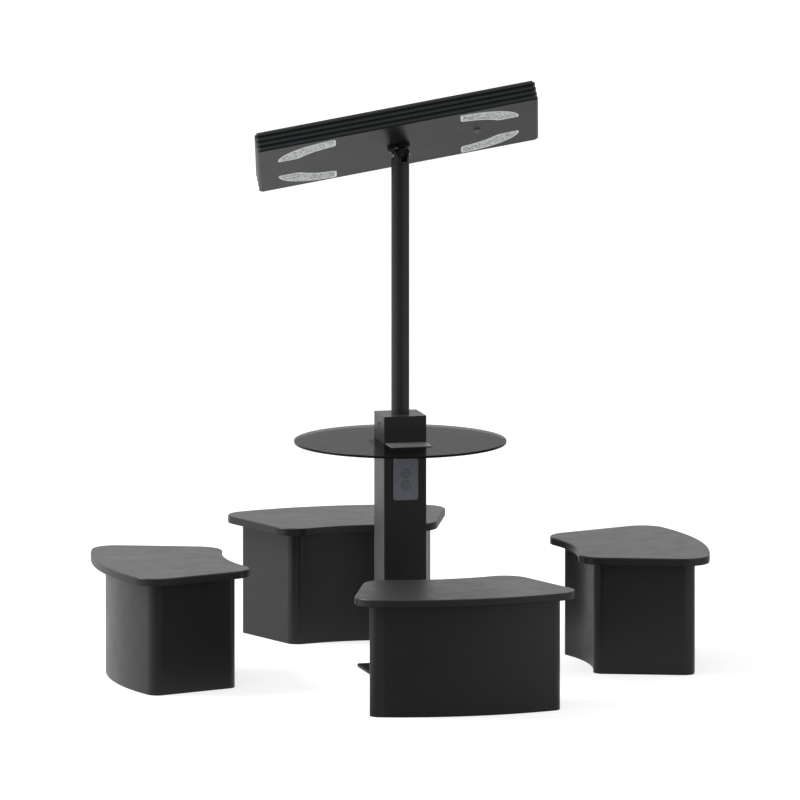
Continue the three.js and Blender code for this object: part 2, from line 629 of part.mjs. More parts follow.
function forkParts() {
  const plugLow = -fork.drop - fork.collar - fork.plug;
  const collar = post(mast.diameter / 2, fork.collar, -fork.drop - fork.collar + fit);
  const plug = post(mastBore - fit, fork.plug + fork.collar, plugLow);
  const cheekSpan = fork.gap + 2 * fork.cheek;
  const across = mast.diameter / 2;
  const blank = prism(cheekOutline(), mast.diameter, -across).rotateX(Math.PI / 2).rotateZ(Math.PI / 2);
  const slot = block(fork.gap, mast.diameter, fork.drop + fork.cheekRadius + overrun, -fork.drop);
  const round = post(across, 2 * (fork.drop + fork.cheekRadius), -fork.drop - fork.cheekRadius);
  const seatDepth = across + overrun - cheekSpan / 2;
  const seatMiddle = (cheekSpan + seatDepth) / 2;
  const seats = [-seatMiddle, seatMiddle].map(
    (x) => barAlongX(tiltBolt.washer + tiltBolt.seatGap, seatDepth, x, 0, 0),
  );
  const cheeks = cut(common(cut(blank, slot), round), ...seats);
  const wire = post(fork.bore, overrun - plugLow, plugLow - overrun);
  const boltHole = barAlongX(joint.boltRadius + fit, mast.diameter, 0, 0, 0);
  piece(swivelGroup, 'mast_fork', cut(join(plug, collar, cheeks), wire, boltHole), charcoal);

  const inner = cheekSpan / 2 + fit;
  const washer = inner + tiltBolt.washerThickness;
  const headRadius = tiltBolt.head * hexagonCornerShare;
  const headMiddle = washer + tiltBolt.headHeight / 2 - fit;
  const bolt = join(
    barAlongX(joint.boltRadius, 2 * washer, 0, 0, 0),
    barAlongX(tiltBolt.washer, tiltBolt.washerThickness, -(inner + tiltBolt.washerThickness / 2), 0, 0),
    barAlongX(tiltBolt.washer, tiltBolt.washerThickness, inner + tiltBolt.washerThickness / 2, 0, 0),
    barAlongX(headRadius, tiltBolt.headHeight, headMiddle, 0, 0, hexagonSides),
    barAlongX(headRadius, tiltBolt.headHeight, -headMiddle, 0, 0, hexagonSides),
  );
  piece(swivelGroup, 'tilt_bolt', bolt, zinc);
}

function lugParts() {
  const r = lug.flangeRadius;
  const low = joint.toFlange;
  const flange = new THREE.LatheGeometry([
    new THREE.Vector2(0, 0),
    new THREE.Vector2(r - lug.edge, 0),
    new THREE.Vector2(r, lug.edge),
    new THREE.Vector2(r, lug.flangeThickness),
    new THREE.Vector2(0, lug.flangeThickness),
  ], roundSegments).rotateX(Math.PI / 2);
  move(flange, 0, 0, low);
  const width = fork.gap - 2 * lug.side;
  const tongue = join(
    block(width, 2 * lug.radius, low + fit, 0),
    barAlongX(lug.radius, width, 0, 0, 0, roundSegments),
  );
  let body = cut(join(flange, tongue), barAlongX(joint.boltRadius + fit, mast.diameter, 0, 0, 0));
  const reach = lug.boltCircle / Math.SQRT2;
  const corners = [[-1, -1], [1, -1], [1, 1], [-1, 1]];
  for (const [x, y] of corners) {
    const hole = bore(flangeBolt.shank / 2 + fit, lug.flangeThickness + 2 * overrun, low - overrun);
    body = cut(body, move(hole, x * reach, y * reach, 0));
  }
  piece(tiltGroup, 'head_flange', body, castBlack);
  corners.forEach(([x, y], index) => {
    const bolt = join(
      hexagon(flangeBolt.head, flangeBolt.headHeight, -flangeBolt.headHeight),
      post(flangeBolt.shank / 2, lug.flangeThickness + flangeBolt.reach + fit, -fit, smallSegments),
    );
    piece(tiltGroup, `flange_bolt_${index + 1}`, bolt, zinc).position.set(x * reach, y * reach, low - fit);
  });
  return { reach, corners };
}

// The quarter-band outline of a lamp round its own centre, made larger by grow
function lensOutline(grow) {
  const a = lens.outerX + grow;
  const b = lens.outerY + grow;
  const q = lens.corner;
  const inX = lens.innerX - grow * lensSlantShare;
  const inY = lens.innerY - grow * lensSlantShare;
  const slope = new THREE.Vector2(-inX, inY).normalize();
  const shape = new THREE.Shape();
  const startTurn = Math.PI + Math.asin((q - grow) / b);
  const endTurn = Math.PI * 1.5 - Math.asin((q - grow) / a);
  shape.moveTo(a * Math.cos(startTurn), b * Math.sin(startTurn));
  shape.absellipse(0, 0, a, b, startTurn, endTurn, false);
  shape.quadraticCurveTo(grow, -b, grow, -b + q);
  shape.lineTo(grow, -inY - q);
  shape.quadraticCurveTo(grow, -inY, grow + slope.x * q, -inY + slope.y * q);
  const bow = new THREE.Vector2(-inX / 2 - lens.bulge, -inY / 2 - lens.bulge);
  shape.quadraticCurveTo(bow.x, bow.y, -inX - slope.x * q, grow - slope.y * q);
  shape.quadraticCurveTo(-inX, grow, -inX - q, grow);
  shape.lineTo(-a + q, grow);
  shape.quadraticCurveTo(-a, grow, a * Math.cos(startTurn), b * Math.sin(startTurn));
  return shape;
}

// The near and far lamps on the left and right are one outline, mirrored
const lampPlaces = [
  { name: 'near_left', x: -1, y: -1 },
  { name: 'near_right', x: 1, y: -1 },
  { name: 'far_right', x: 1, y: 1 },
  { name: 'far_left', x: -1, y: 1 },
];

// The mirrored outline in the head's own plane, run the same way round as the first
function lampRing(place, grow) {
  const points = openRing(lensOutline(grow), lensSteps).map((p) => new THREE.Vector2(
    place.x * (lensSeat.fromCentreX - p.x),
    place.y * (lensSeat.fromCentreY - p.y),
  ));
  return THREE.ShapeUtils.area(points) < 0 ? points.reverse() : points;
}

function lampSlab(place, grow, low, height) {
  const points = lampRing(place, grow);
  return loft([{ points, z: low }, { points, z: low + height }]);
}

function headRing(inset) {
  const r = Math.max(headCorner.radius - inset, headCorner.least);
  return openRing(roundedRectangle(head.length - 2 * inset, head.width - 2 * inset, r));
}

// The finned side: each ridge is a flat between two slopes, with a groove between neighbours
function finnedSides() {
  const pitch = head.thickness / ridge.count;
  const levels = [];
  for (let i = 0; i < ridge.count; i += 1) {
    const low = i * pitch;
    const slope = pitch * ridge.slopeShare;
    const flat = pitch * ridge.flatShare;
    levels.push({ points: headRing(ridge.depth), z: low });
    levels.push({ points: headRing(0), z: low + slope });
    levels.push({ points: headRing(0), z: low + slope + flat });
    levels.push({ points: headRing(ridge.depth), z: low + 2 * slope + flat });
  }
  levels.push({ points: headRing(ridge.depth), z: head.thickness });
  return loft(levels);
}

function headParts(flangeHoles) {
  const glassLow = head.thickness - laminate.inset - laminate.glass;
  const sheetLow = glassLow - fit - laminate.thickness;
  const deckLevel = sheetLow - fit;
  const openLength = head.length - 2 * head.wall;
  const openWidth = head.width - 2 * head.wall;
  const hollow = plate(
    openLength - 2 * laminate.ledge,
    openWidth - 2 * laminate.ledge,
    headCorner.radius,
    head.thickness,
    head.floor,
  );
  const rebate = plate(openLength, openWidth, laminate.cornerRadius, head.thickness, deckLevel);
  let tray = cut(finnedSides(), hollow, rebate);
  for (const place of lampPlaces) tray = cut(tray, lampSlab(place, 0, -overrun, head.floor + 2 * overrun));
  const eye = bore(sensor.stem + fit, head.floor + 2 * overrun, -overrun);
  tray = cut(tray, move(eye, sensor.x, sensor.y, 0));
  for (const [x, y] of flangeHoles.corners) {
    const spot = new THREE.Vector2(x * flangeHoles.reach, y * flangeHoles.reach);
    spot.rotateAround(new THREE.Vector2(), -head.turn * degree);
    const hole = bore(flangeBolt.shank / 2 + fit, head.floor + 2 * overrun, -overrun);
    tray = cut(tray, move(hole, spot.x, spot.y, 0));
  }
  piece(headGroup, 'head_housing', tray, charcoalDark);

  const paneLength = openLength - 2 * laminate.inset;
  const paneWidth = openWidth - 2 * laminate.inset;
  const pane = (thickness, low) => plate(paneLength, paneWidth, laminate.cornerRadius, thickness, low);
  piece(headGroup, 'solar_laminate', pane(laminate.thickness, sheetLow), cells);
  piece(headGroup, 'solar_glass', pane(laminate.glass, glassLow), clearGlass);

  for (const place of lampPlaces) {
    const body = join(
      loft([
        { points: lampRing(place, -lensSeat.gap - lensSeat.spread), z: -lens.proud },
        { points: lampRing(place, -lensSeat.gap), z: -lens.lip },
        { points: lampRing(place, -lensSeat.gap), z: head.floor + 2 * fit },
      ]),
      lampSlab(place, lensSeat.flange, head.floor + fit, lensSeat.flangeThickness),
    );
    piece(headGroup, `lens_${place.name}`, body, crystal);
    const boardLow = head.floor + lensSeat.flangeThickness + 2 * fit;
    const board = lampSlab(place, lensSeat.flange, boardLow, ledBoard.thickness);
    piece(headGroup, `led_board_${place.name}`, board, ledWhite);
  }

  const dome = new THREE.LatheGeometry([
    new THREE.Vector2(0, -sensor.dome),
    ...sensorRimShares.map((share) => new THREE.Vector2(
      sensor.radius * share,
      -sensor.lip - (sensor.dome - sensor.lip) * Math.sqrt(1 - share * share),
    )),
    new THREE.Vector2(sensor.radius, -fit),
    new THREE.Vector2(0, -fit),
  ], smallSegments).rotateX(Math.PI / 2);
  const stem = post(sensor.stem, sensor.stemLength, -2 * fit, smallSegments);
  piece(headGroup, 'motion_sensor', join(dome, stem), plasticDark).position.set(sensor.x, sensor.y, 0);

  const { length, width, height, corner, edge } = driver;
  const unit = easedPlate(length, width, corner, height, head.floor + fit, edge);
  piece(headGroup, 'led_driver', unit, plasticGrey).position.x = driver.x;
}

// The plan outline of a stool round the pedestal axis, on the -Y side, drawn in by inset
function fanRing(inset) {
  const beta = fan.splay * degree;
  const along = new THREE.Vector2(Math.cos(beta), Math.sin(beta));
  const normal = new THREE.Vector2(-along.y, along.x);
  const corner = (radius, ring, side) => {
    const r = Math.max(radius - inset, fan.edge);
    const anchorPoint = new THREE.Vector2(fan.widthAt, fan.halfWidth).addScaledVector(normal, -inset - r);
    const reach = ring - side * r;
    const dot = anchorPoint.dot(along);
    const t = -dot + Math.sqrt(dot * dot - anchorPoint.lengthSq() + reach * reach);
    return { r, centre: anchorPoint.addScaledVector(along, t) };
  };
  const outerRadius = stool.outerRadius - inset;
  const innerRadius = stool.innerRadius + inset;
  const outer = corner(fan.outerCorner, outerRadius, 1);
  const inner = corner(fan.innerCorner, innerRadius, -1);
  const outerTurn = Math.atan2(outer.centre.y, outer.centre.x);
  const innerTurn = Math.atan2(inner.centre.y, inner.centre.x);
  const sideTurn = Math.PI / 2 + beta;
  const arc = (x, y, radius, from, to, steps, clockwise = false) => (
    new THREE.EllipseCurve(x, y, radius, radius, from, to, clockwise).getPoints(steps)
  );
  return distinct([
    ...arc(0, 0, outerRadius, -outerTurn, outerTurn, fanSteps.outer),
    ...arc(outer.centre.x, outer.centre.y, outer.r, outerTurn, sideTurn, fanSteps.corner),
    ...arc(inner.centre.x, inner.centre.y, inner.r, sideTurn, innerTurn + Math.PI, fanSteps.corner),
    ...arc(0, 0, innerRadius, innerTurn, -innerTurn, fanSteps.inner, true),
    ...arc(inner.centre.x, -inner.centre.y, inner.r, -innerTurn - Math.PI, -sideTurn, fanSteps.corner),
    ...arc(outer.centre.x, -outer.centre.y, outer.r, -sideTurn, -outerTurn, fanSteps.corner),
  ]);
}

function fanSlab(inset, low, height) {
  const points = fanRing(inset);
  return loft([{ points, z: low }, { points, z: low + height }]);
}

function stoolParts() {
  const boardLow = stool.height - stool.board;
  const e = fan.edge;
  const board = loft([
    { points: fanRing(e), z: boardLow },
    { points: fanRing(0), z: boardLow + e },
    { points: fanRing(0), z: stool.height - e },
    { points: fanRing(e), z: stool.height },
  ]);
  const skin = cut(
    fanSlab(shell.inset, 0, boardLow),
    fanSlab(shell.inset + shell.wall, -overrun, boardLow + overrun - shell.top),
  );
  const bottom = fanSlab(shell.inset + shell.wall + floorPlate.gap, 0, floorPlate.thickness);
  const names = ['front', 'right', 'back', 'left'];
  names.forEach((name, index) => {
    const group = new THREE.Group();
    group.rotation.z = -Math.PI / 2 + index * Math.PI / 2;
    bench.add(group);
    piece(group, `stool_board_${name}`, board, charcoal);
    piece(group, `stool_shell_${name}`, skin, charcoal);
    piece(group, `stool_floor_plate_${name}`, bottom, charcoalDark);
  });
}

baseParts();
columnParts();
doorParts();
innerParts();
chargingParts();
tableParts();
mastParts();
forkParts();
headParts(lugParts());
stoolParts();

export default bench;
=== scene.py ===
"""The looks of the solar charging bench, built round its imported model. Lengths are in metres, +Z is up."""
import math
import random

import bmesh
import bpy
from mathutils import Matrix, Vector, geometry

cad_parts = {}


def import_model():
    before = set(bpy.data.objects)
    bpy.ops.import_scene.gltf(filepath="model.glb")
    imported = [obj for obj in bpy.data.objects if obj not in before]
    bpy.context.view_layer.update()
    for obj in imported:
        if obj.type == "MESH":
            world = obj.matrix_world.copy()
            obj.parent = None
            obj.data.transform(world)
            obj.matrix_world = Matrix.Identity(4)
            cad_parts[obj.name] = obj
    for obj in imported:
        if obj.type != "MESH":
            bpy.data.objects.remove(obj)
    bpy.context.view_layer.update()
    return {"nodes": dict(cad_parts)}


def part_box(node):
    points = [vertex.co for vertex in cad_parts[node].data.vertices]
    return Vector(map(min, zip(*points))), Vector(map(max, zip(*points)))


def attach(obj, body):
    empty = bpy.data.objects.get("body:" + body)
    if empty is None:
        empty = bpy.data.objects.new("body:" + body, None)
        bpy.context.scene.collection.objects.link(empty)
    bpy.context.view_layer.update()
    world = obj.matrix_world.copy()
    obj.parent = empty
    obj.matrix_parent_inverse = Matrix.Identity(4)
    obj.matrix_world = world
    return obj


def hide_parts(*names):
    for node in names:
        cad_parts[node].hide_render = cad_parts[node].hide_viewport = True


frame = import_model()

# The camera stands where the photograph was taken: far off, with a long lens, and near enough for views from
# other sides, which keep this lens and reach 100 times the radius of the object
VIEW_AZIMUTH = math.radians(-13.7)
VIEW_ELEVATION = math.radians(8.68)
VIEW_DISTANCE = 130.0
VIEW_TARGET = Vector((-0.0010, 0.0002, 1.030))
FRAME_WIDTH = 3.008
SENSOR_MM = 36.0
CLIP_END = 1000.0

# The studio's ends: towards the camera, and the left and right end of the back. Each one's share of the light
# changes from the one elsewhere where the cosine of the angle to that end reaches its start
STUDIO_FRONT = {"way": (-0.26, -0.965, 0.0), "start": 0.5, "elsewhere": 0.8, "share": 0.22}
STUDIO_LEFT = {"way": (-0.96, 0.28, 0.0), "start": 0.2, "elsewhere": 1.0, "share": 1.05}
STUDIO_RIGHT = {"way": (0.94, 0.34, 0.0), "start": 0.4, "elsewhere": 1.0, "share": 0.5}
KEY_PLACE = (-5.0, 1.5, 5.5)
KEY_TARGET = (0, 0, 0.8)
KEY_SIZE = 4.0
KEY_WATTS = 420.0

# The floor: its colour, its own light, and how it shows in reflections from steep to flat
FLOOR_REACH = 300.0
FLOOR_LEVEL = -0.0005
FLOOR_GREY = 0.5
FLOOR_LIGHT = 0.72
FLOOR_SHINE = (0.18, 1.05)
FLOOR_FACING = (0.1, 0.85)

# Sizes that the frame's boxes don't give
FIT = 0.0003
LEAST_CORNER = 0.001
COLUMN_CORNER = 0.005
STOOL_OUTER = 1.165
STOOL_INNER = 0.671
FAN_HALF_WIDTH = 0.309
FAN_WIDTH_AT = 0.685
FAN_SPLAY = math.radians(19.4)
FAN_INNER_CORNER = 0.100
FAN_OUTER_CORNER = 0.095
BOARD_EDGE = 0.005
BOARD_LOWER_EDGE = 0.003
SHELL_INSET = 0.056
SHELL_WALL = 0.003
SHELL_EDGE = 0.0012
SHELL_TOP_EDGE = 0.0004
TABLE_EDGE = 0.0016
TABLE_HOLE_GAP = 0.0015
TABLE_RIM_SLOPE = 0.5
MAST_WALL = 0.004
MAST_EDGE = 0.0008
CAP_THICKNESS = 0.004
CAP_EDGE = 0.0012
WELD = {"radius": 0.003, "ripple": 0.0005, "pitch": 0.0042, "rings": 4, "sides": 8}
TABLE_WELD_SHARE = 0.7

# Screws and bolts: half width over the flats or radius, head height, washer, recess, and the shank's reach
ANCHOR = {"head": 0.012, "shank": 0.006, "sink": 0.0005, "edge": 0.0003, "recess": 0.004, "depth": 0.004}
ANCHOR_TURN = math.radians(20.0)
CAP_SCREW = {"radius": 0.0055, "dome": 0.0025, "shank": 0.0025, "reach": 0.011, "recess": 0.0016,
             "depth": 0.0014}
DOME_END = math.radians(58.0)
DOME_RINGS = 5
FLANGE_BOLT = {"flat": 0.0065, "head": 0.004, "washer": 0.0072, "washer_height": 0.0008, "shank": 0.004,
               "reach": 0.0213}
FLANGE_BOLT_SPACING = 0.0340 / math.sqrt(2)
FLANGE_LEVEL = 0.022
TILT_BOLT = {"flat": 0.0095, "head": 0.008, "washer": 0.012, "washer_height": 0.002, "shank": 0.006}
POINT_SHARE = 0.15
WASHER_BEVEL_SHARE = 0.3
BOLT_RIM_SHARE = 0.94
BOLT_SLOPE = math.tan(math.radians(30.0))
BOLT_RINGS = 4

# Charging point
SOCKET_WELL = 0.008
USB_PORT = {"width": 0.0126, "height": 0.0051, "depth": 0.0046, "wall": 0.0004, "spacing": 0.011,
            "setback": 0.0001}
USB_TONGUE = {"width": 0.0100, "height": 0.0018, "setback": 0.0008}
SOCKET_RIM = {"radius": 0.0204, "well": 0.0137, "height": 0.0010, "edge": 0.0004, "bevel": 0.0006,
              "slope": 0.0012, "lip": 0.0002, "setback": 0.0008}

# The lamp head in its own frame, with its underside at zero
JOINT_HEIGHT = 1.962
AXIS_TURN = math.radians(15.3)
TILT = math.radians(23.2)
HEAD_TURN = math.radians(-27.3)
HEAD_LIFT = 0.0343
TONGUE_REACH = 0.0235
HEAD_LENGTH = 1.070
HEAD_WIDTH = 0.720
HEAD_THICKNESS = 0.075
HEAD_CORNER = 0.017
HEAD_EDGE = 0.0008
HEAD_WALL = 0.018
HEAD_FLOOR = 0.004
CUTTER_TOP = 1.2 * HEAD_THICKNESS
RIDGES = 4
RIDGE_DEPTH = 0.008
RIDGE_STEPS = 14
RIDGE_SLOPE_SHARE = 0.24
RIDGE_END_SHARE = 0.86

# The solar panel: the sheet, its cells with clipped corners, their ribbons, and the bars at both ends
LEDGE = 0.007
GLASS_INSET = 0.001
GLASS_THICKNESS = 0.004
GLASS_LOWER_EDGE = 0.0006
GLASS_UPPER_EDGE = 0.0009
LAMINATE_THICKNESS = 0.003
LAMINATE_EDGE = 0.0003
PANE_CORNER = 0.003
CELL = {"side": 0.1565, "gap": 0.003, "clipped": 0.013, "thickness": 0.0003, "columns": 6, "rows": 4}
CELL_ROOM = 0.0006
CELL_BELOW_GLASS = 0.0002
RIBBON = {"count": 5, "half_width": 0.0006, "height": 0.0001, "past": 0.006}
BUS_BAR = {"half_width": 0.0025, "height": 0.00012}

# The lenses and the sensor under the head
LENS_OUTER = (0.223, 0.198)
LENS_INNER = (0.148, 0.100)
LENS_BULGE = 0.022
LENS_CORNER = 0.013
LENS_PROUD = 0.003
LENS_GAP = 0.0005
LENS_FROM_CENTRE = (0.238, 0.126)
LENS_SLANT_SHARE = 1.2
LENS_FLOOR = -0.0014
LENS_STEPS = 10
LIP_WIDTH = 0.0058
LIP_EDGE_SHARE = 0.2
LIP_FLAT_SHARE = 0.8
LIP_CHAMFER_SHARE = 0.3
CRYSTAL_PITCH = 0.0088
CRYSTAL_HEIGHT = 0.0014
CRYSTAL_STRAY_SHARE = 0.36
CRYSTAL_BORDER_SHARE = 0.4
CRYSTAL_SEED = 11
SAME_POINT = 0.00001
SENSOR = {"x": 0.301, "y": -0.018, "radius": 0.015, "dome": 0.010, "stem": 0.009, "stem_length": 0.012,
          "lip": 0.0025}
SENSOR_CHAMFER_SHARE = 0.4
SENSOR_RIM_SHARE = 0.8
SENSOR_WELL_SHARE = 0.78
SENSOR_DOME_SHARE = 0.77
SENSOR_RINGS = 6
LENSES = {"near_left": (-1, -1), "near_right": (1, -1), "far_right": (1, 1), "far_left": (-1, 1)}
SEATS = ("front", "right", "back", "left")

# How finely round shapes are drawn, and the angles over which edges stay sharp
ROUND_STEPS = 96
CORNER_STEPS = 8
TABLE_STEPS = 256
BOLT_STEPS = 72
BEZEL_STEPS = 48
DOME_STEPS = 24
FAN_STEPS = {"outer": 56, "inner": 40, "corner": 14}
SHARP_ANGLE = math.radians(35.0)
ICE_ANGLE = math.radians(12.0)
DOME_ANGLE = math.radians(5.0)
WELD_ANGLE = math.radians(80.0)
BEVEL_ANGLE = math.radians(40.0)
PACKED_EDGE = 0.0006
PACKED_ANGLE = math.radians(32.0)
PACKED_FLAT = math.radians(0.5)

# Fine grains: how many to the metre and how deep. The middle of a noise is where most of its values lie
NOISE_MIDDLE = (0.3, 0.7)
PAINT_GRAIN = {"scale": 900.0, "depth": 0.00006}
CASTING_GRAIN = {"scale": 500.0, "depth": 0.0001}
METAL_GRAIN = {"scale": 400.0, "depth": 0.00002}
PLASTIC_GRAIN = {"scale": 1400.0, "depth": 0.00004}
CRYSTAL_GRAIN = {"scale": 500.0, "depth": 0.0002}

JOINT_FRAME = (
    Matrix.Translation((0, 0, JOINT_HEIGHT))
    @ Matrix.Rotation(AXIS_TURN, 4, "Z")
    @ Matrix.Rotation(-TILT, 4, "X")
)
HEAD_FRAME = JOINT_FRAME @ Matrix.Translation((0, 0, HEAD_LIFT)) @ Matrix.Rotation(HEAD_TURN, 4, "Z")


# Materials
class Nodes:
    """A node tree that is filled in step by step."""

    def __init__(self, tree, output):
        self.tree = tree
        self.tree.nodes.clear()
        self.output = self.add(output)

    def add(self, kind, inputs=None, **settings):
        node = self.tree.nodes.new(kind)
        for name, value in settings.items():
            setattr(node, name, value)
        for name, value in (inputs or {}).items():
            self.feed(node.inputs[name], value)
        return node

    def feed(self, socket, value):
        """Links a socket to another one, or sets its value."""
        if isinstance(value, bpy.types.NodeSocket):
            self.tree.links.new(value, socket)
        else:
            socket.default_value = value

    def surface(self, shader):
        self.tree.links.new(shader.outputs[0], self.output.inputs["Surface"])

    def mix(self, factor, a, b):
        return self.add("ShaderNodeMixShader", {0: factor, 1: a.outputs[0], 2: b.outputs[0]})

    def calc(self, operation, a, b):
        return self.add("ShaderNodeMath", {0: a, 1: b}, operation=operation).outputs[0]

    def place(self):
        return self.add("ShaderNodeTexCoord").outputs["Object"]

    def surface_facts(self, name):
        return self.add("ShaderNodeNewGeometry").outputs[name]

    def noise(self, scale, detail=3.0, roughness=0.5):
        inputs = {"Vector": self.place(), "Scale": scale, "Detail": detail, "Roughness": roughness}
        return self.add("ShaderNodeTexNoise", inputs).outputs["Fac"]

    def between(self, factor, low, high, start=0.0, end=1.0):
        """The number that goes from low to high while the factor goes from start to end."""
        inputs = {"Value": factor, "From Min": start, "From Max": end, "To Min": low, "To Max": high}
        return self.add("ShaderNodeMapRange", inputs).outputs["Result"]

    def spread(self, noise, low, high):
        """The number that goes from low to high over the middle of a noise."""
        return self.between(noise, low, high, *NOISE_MIDDLE)

    def blend(self, factor, a, b):
        node = self.add("ShaderNodeMix", data_type="RGBA")
        for index, value in ((0, factor), (6, a), (7, b)):
            self.feed(node.inputs[index], value)
        return node.outputs[2]

    def grain(self, size, detail=2.0):
        """The normal of a finely grained surface."""
        inputs = {"Height": self.noise(size["scale"], detail), "Distance": size["depth"], "Strength": 1.0}
        return self.add("ShaderNodeBump", inputs).outputs["Normal"]


class Finish(Nodes):
    """A material."""

    def __init__(self, name):
        self.material = bpy.data.materials.new(name)
        self.material.use_nodes = True
        super().__init__(self.material.node_tree, "ShaderNodeOutputMaterial")

    def principled(self, inputs):
        """Makes the material one principled surface and returns it."""
        self.surface(self.add("ShaderNodeBsdfPrincipled", inputs))
        return self.material


def colour(red, green, blue):
    return (red, green, blue, 1.0)


def grey(value, tint=(1.0, 1.0, 1.0)):
    return colour(value * tint[0], value * tint[1], value * tint[2])


def scaled(tone, share):
    return colour(tone[0] * share, tone[1] * share, tone[2] * share)


def paint(name, tone, roughness, level, dust=0.1, unevenness=0.03):
    """Powder coat: an orange-peel skin, uneven sheen, a little dust on top, and lighter along its sharp
    edges.
    """
    f = Finish(name)
    base = f.blend(f.spread(f.noise(3.0, 4.0), 0.0, 1.0), scaled(tone, 0.92), scaled(tone, 1.08))
    edge = f.between(f.surface_facts("Pointiness"), 0.0, 0.5, 0.53, 0.62)
    base = f.blend(edge, base, scaled(tone, 1.9))
    normal = f.add("ShaderNodeTexCoord").outputs["Normal"]
    up = f.add("ShaderNodeSeparateXYZ", {"Vector": normal}).outputs["Z"]
    speck = f.spread(f.noise(60.0, 6.0, 0.7), 0.4, 1.0)
    dusty = f.calc("MULTIPLY", f.between(up, 0.0, dust, 0.6, 1.0), speck)
    sheen = f.spread(f.noise(14.0, 5.0), roughness - unevenness, roughness + unevenness)
    return f.principled({
        "Base Color": f.blend(dusty, base, grey(0.16, (1.0, 0.98, 0.95))), "Roughness": sheen,
        "Normal": f.grain(PAINT_GRAIN), "Specular IOR Level": level})


def casting(name, tone, tongue_tone):
    """A black casting whose tongue, round the tilt bolt, is painted as the mast is."""
    f = Finish(name)
    pivot = f.add("ShaderNodeVectorMath", {0: f.place(), 1: (0.0, 0.0, JOINT_HEIGHT)}, operation="DISTANCE")
    away = f.between(pivot.outputs["Value"], 0.0, 1.0, TONGUE_REACH, TONGUE_REACH + 2 * FIT)
    base = f.blend(away, tongue_tone, tone)
    cloud = f.spread(f.noise(40.0, 4.0), 0.9, 1.1)
    tinted = f.add("ShaderNodeVectorMath", {0: base, 3: cloud}, operation="SCALE").outputs["Vector"]
    return f.principled({
        "Base Color": tinted, "Roughness": f.between(f.noise(90.0, 4.0), 0.36, 0.46),
        "Normal": f.grain(CASTING_GRAIN, 3.0), "Specular IOR Level": 0.25})


def metal(name, tone, roughness):
    """Zinc-plated, stainless or blackened steel with a fine grain."""
    f = Finish(name)
    base = f.blend(f.spread(f.noise(90.0, 5.0, 0.6), 0.0, 1.0), scaled(tone, 0.82), tone)
    sheen = f.spread(f.noise(160.0, 4.0), roughness - 0.06, roughness + 0.1)
    return f.principled({
        "Base Color": base, "Metallic": 1.0, "Roughness": sheen, "Normal": f.grain(METAL_GRAIN)})


def plastic(name, tone, roughness, level=0.5, painted_glow=0.0):
    """Moulded plastic or rubber with a fine moulded grain, and a painted glow of its own colour, as if light
    shone through it.
    """
    f = Finish(name)
    base = f.blend(f.spread(f.noise(30.0, 4.0), 0.0, 1.0), scaled(tone, 0.94), scaled(tone, 1.06))
    sheen = f.spread(f.noise(200.0, 3.0), roughness - 0.03, roughness + 0.05)
    return f.principled({
        "Base Color": base, "Roughness": sheen, "Normal": f.grain(PLASTIC_GRAIN), "Specular IOR Level": level,
        "Emission Color": base, "Emission Strength": painted_glow})


def clear_sheet(name, tint, gloss, roughness, haze=None, haze_share=0.0, inner_gloss=True):
    """A sheet of glass or polycarbonate that is seen through, with its own gloss and some haze."""
    f = Finish(name)
    wear = f.between(f.noise(40.0, 6.0, 0.7), roughness, roughness + 0.04, 0.35, 0.75)
    through = f.add("ShaderNodeBsdfTransparent", {"Color": tint})
    shine = f.add("ShaderNodeBsdfGlossy", {"Color": grey(1.0), "Roughness": wear})
    rim = f.add("ShaderNodeLayerWeight", {"Blend": 0.25}).outputs["Fresnel"]
    factor = f.between(rim, *gloss)
    if not inner_gloss:
        outside = f.between(f.surface_facts("Backfacing"), 1.0, 0.0)
        factor = f.calc("MULTIPLY", factor, outside)
    sheet = f.mix(factor, through, shine)
    if haze:
        cloud = f.spread(f.noise(25.0, 5.0), haze_share * 0.9, haze_share * 1.1)
        body = f.add("ShaderNodeBsdfPrincipled", {"Base Color": haze, "Roughness": roughness + 0.2})
        sheet = f.mix(cloud, sheet, body)
    f.surface(sheet)
    return f.material


def glass_rim():
    """The edge of the table glass: dark from outside, and nearly clear from inside the sheet."""
    f = Finish("table_glass_rim")
    tone = f.blend(f.noise(50.0, 4.0), grey(0.003), grey(0.008))
    dark = f.add("ShaderNodeBsdfPrincipled", {
        "Base Color": tone, "Roughness": 0.15, "Specular IOR Level": 0.12})
    through = f.add("ShaderNodeBsdfTransparent", {"Color": grey(0.8)})
    inside = f.between(f.surface_facts("Backfacing"), 0.0, 0.85)
    f.surface(f.mix(inside, dark, through))
    return f.material


def crystal():
    """Crushed-ice acrylic. Its facet cells are painted lighter and darker and given a glow that varies the
    same way: painted glints and a painted glow.
    """
    f = Finish("lens_crystal")
    cells = f.add("ShaderNodeTexVoronoi", {"Vector": f.place(), "Scale": 150.0, "Randomness": 1.0})
    shade = f.add("ShaderNodeSeparateColor", {"Color": cells.outputs["Color"]}).outputs[0]
    dark, light = grey(0.30, (0.94, 1.0, 0.99)), grey(0.9, (0.97, 1.0, 0.99))
    dim, bright = grey(0.25, (0.94, 1.0, 0.98)), grey(1.0, (0.97, 1.0, 0.99))
    return f.principled({
        "Base Color": f.blend(f.between(shade, 0.0, 1.0, 0.2, 0.8), dark, light),
        "Emission Color": f.blend(f.between(shade, 0.0, 1.0, 0.3, 0.9), dim, bright),
        "Emission Strength": 0.2, "Roughness": f.between(shade, 0.08, 0.3), "Normal": f.grain(CRYSTAL_GRAIN)})


def solar_cell():
    """Monocrystalline silicon, nearly black blue."""
    f = Finish("solar_cell")
    base = f.blend(f.spread(f.noise(8.0), 0.0, 1.0), colour(0.006, 0.010, 0.026), colour(0.010, 0.018, 0.045))
    return f.principled({
        "Base Color": base, "Roughness": f.between(f.noise(120.0), 0.25, 0.35), "Specular IOR Level": 0.15})


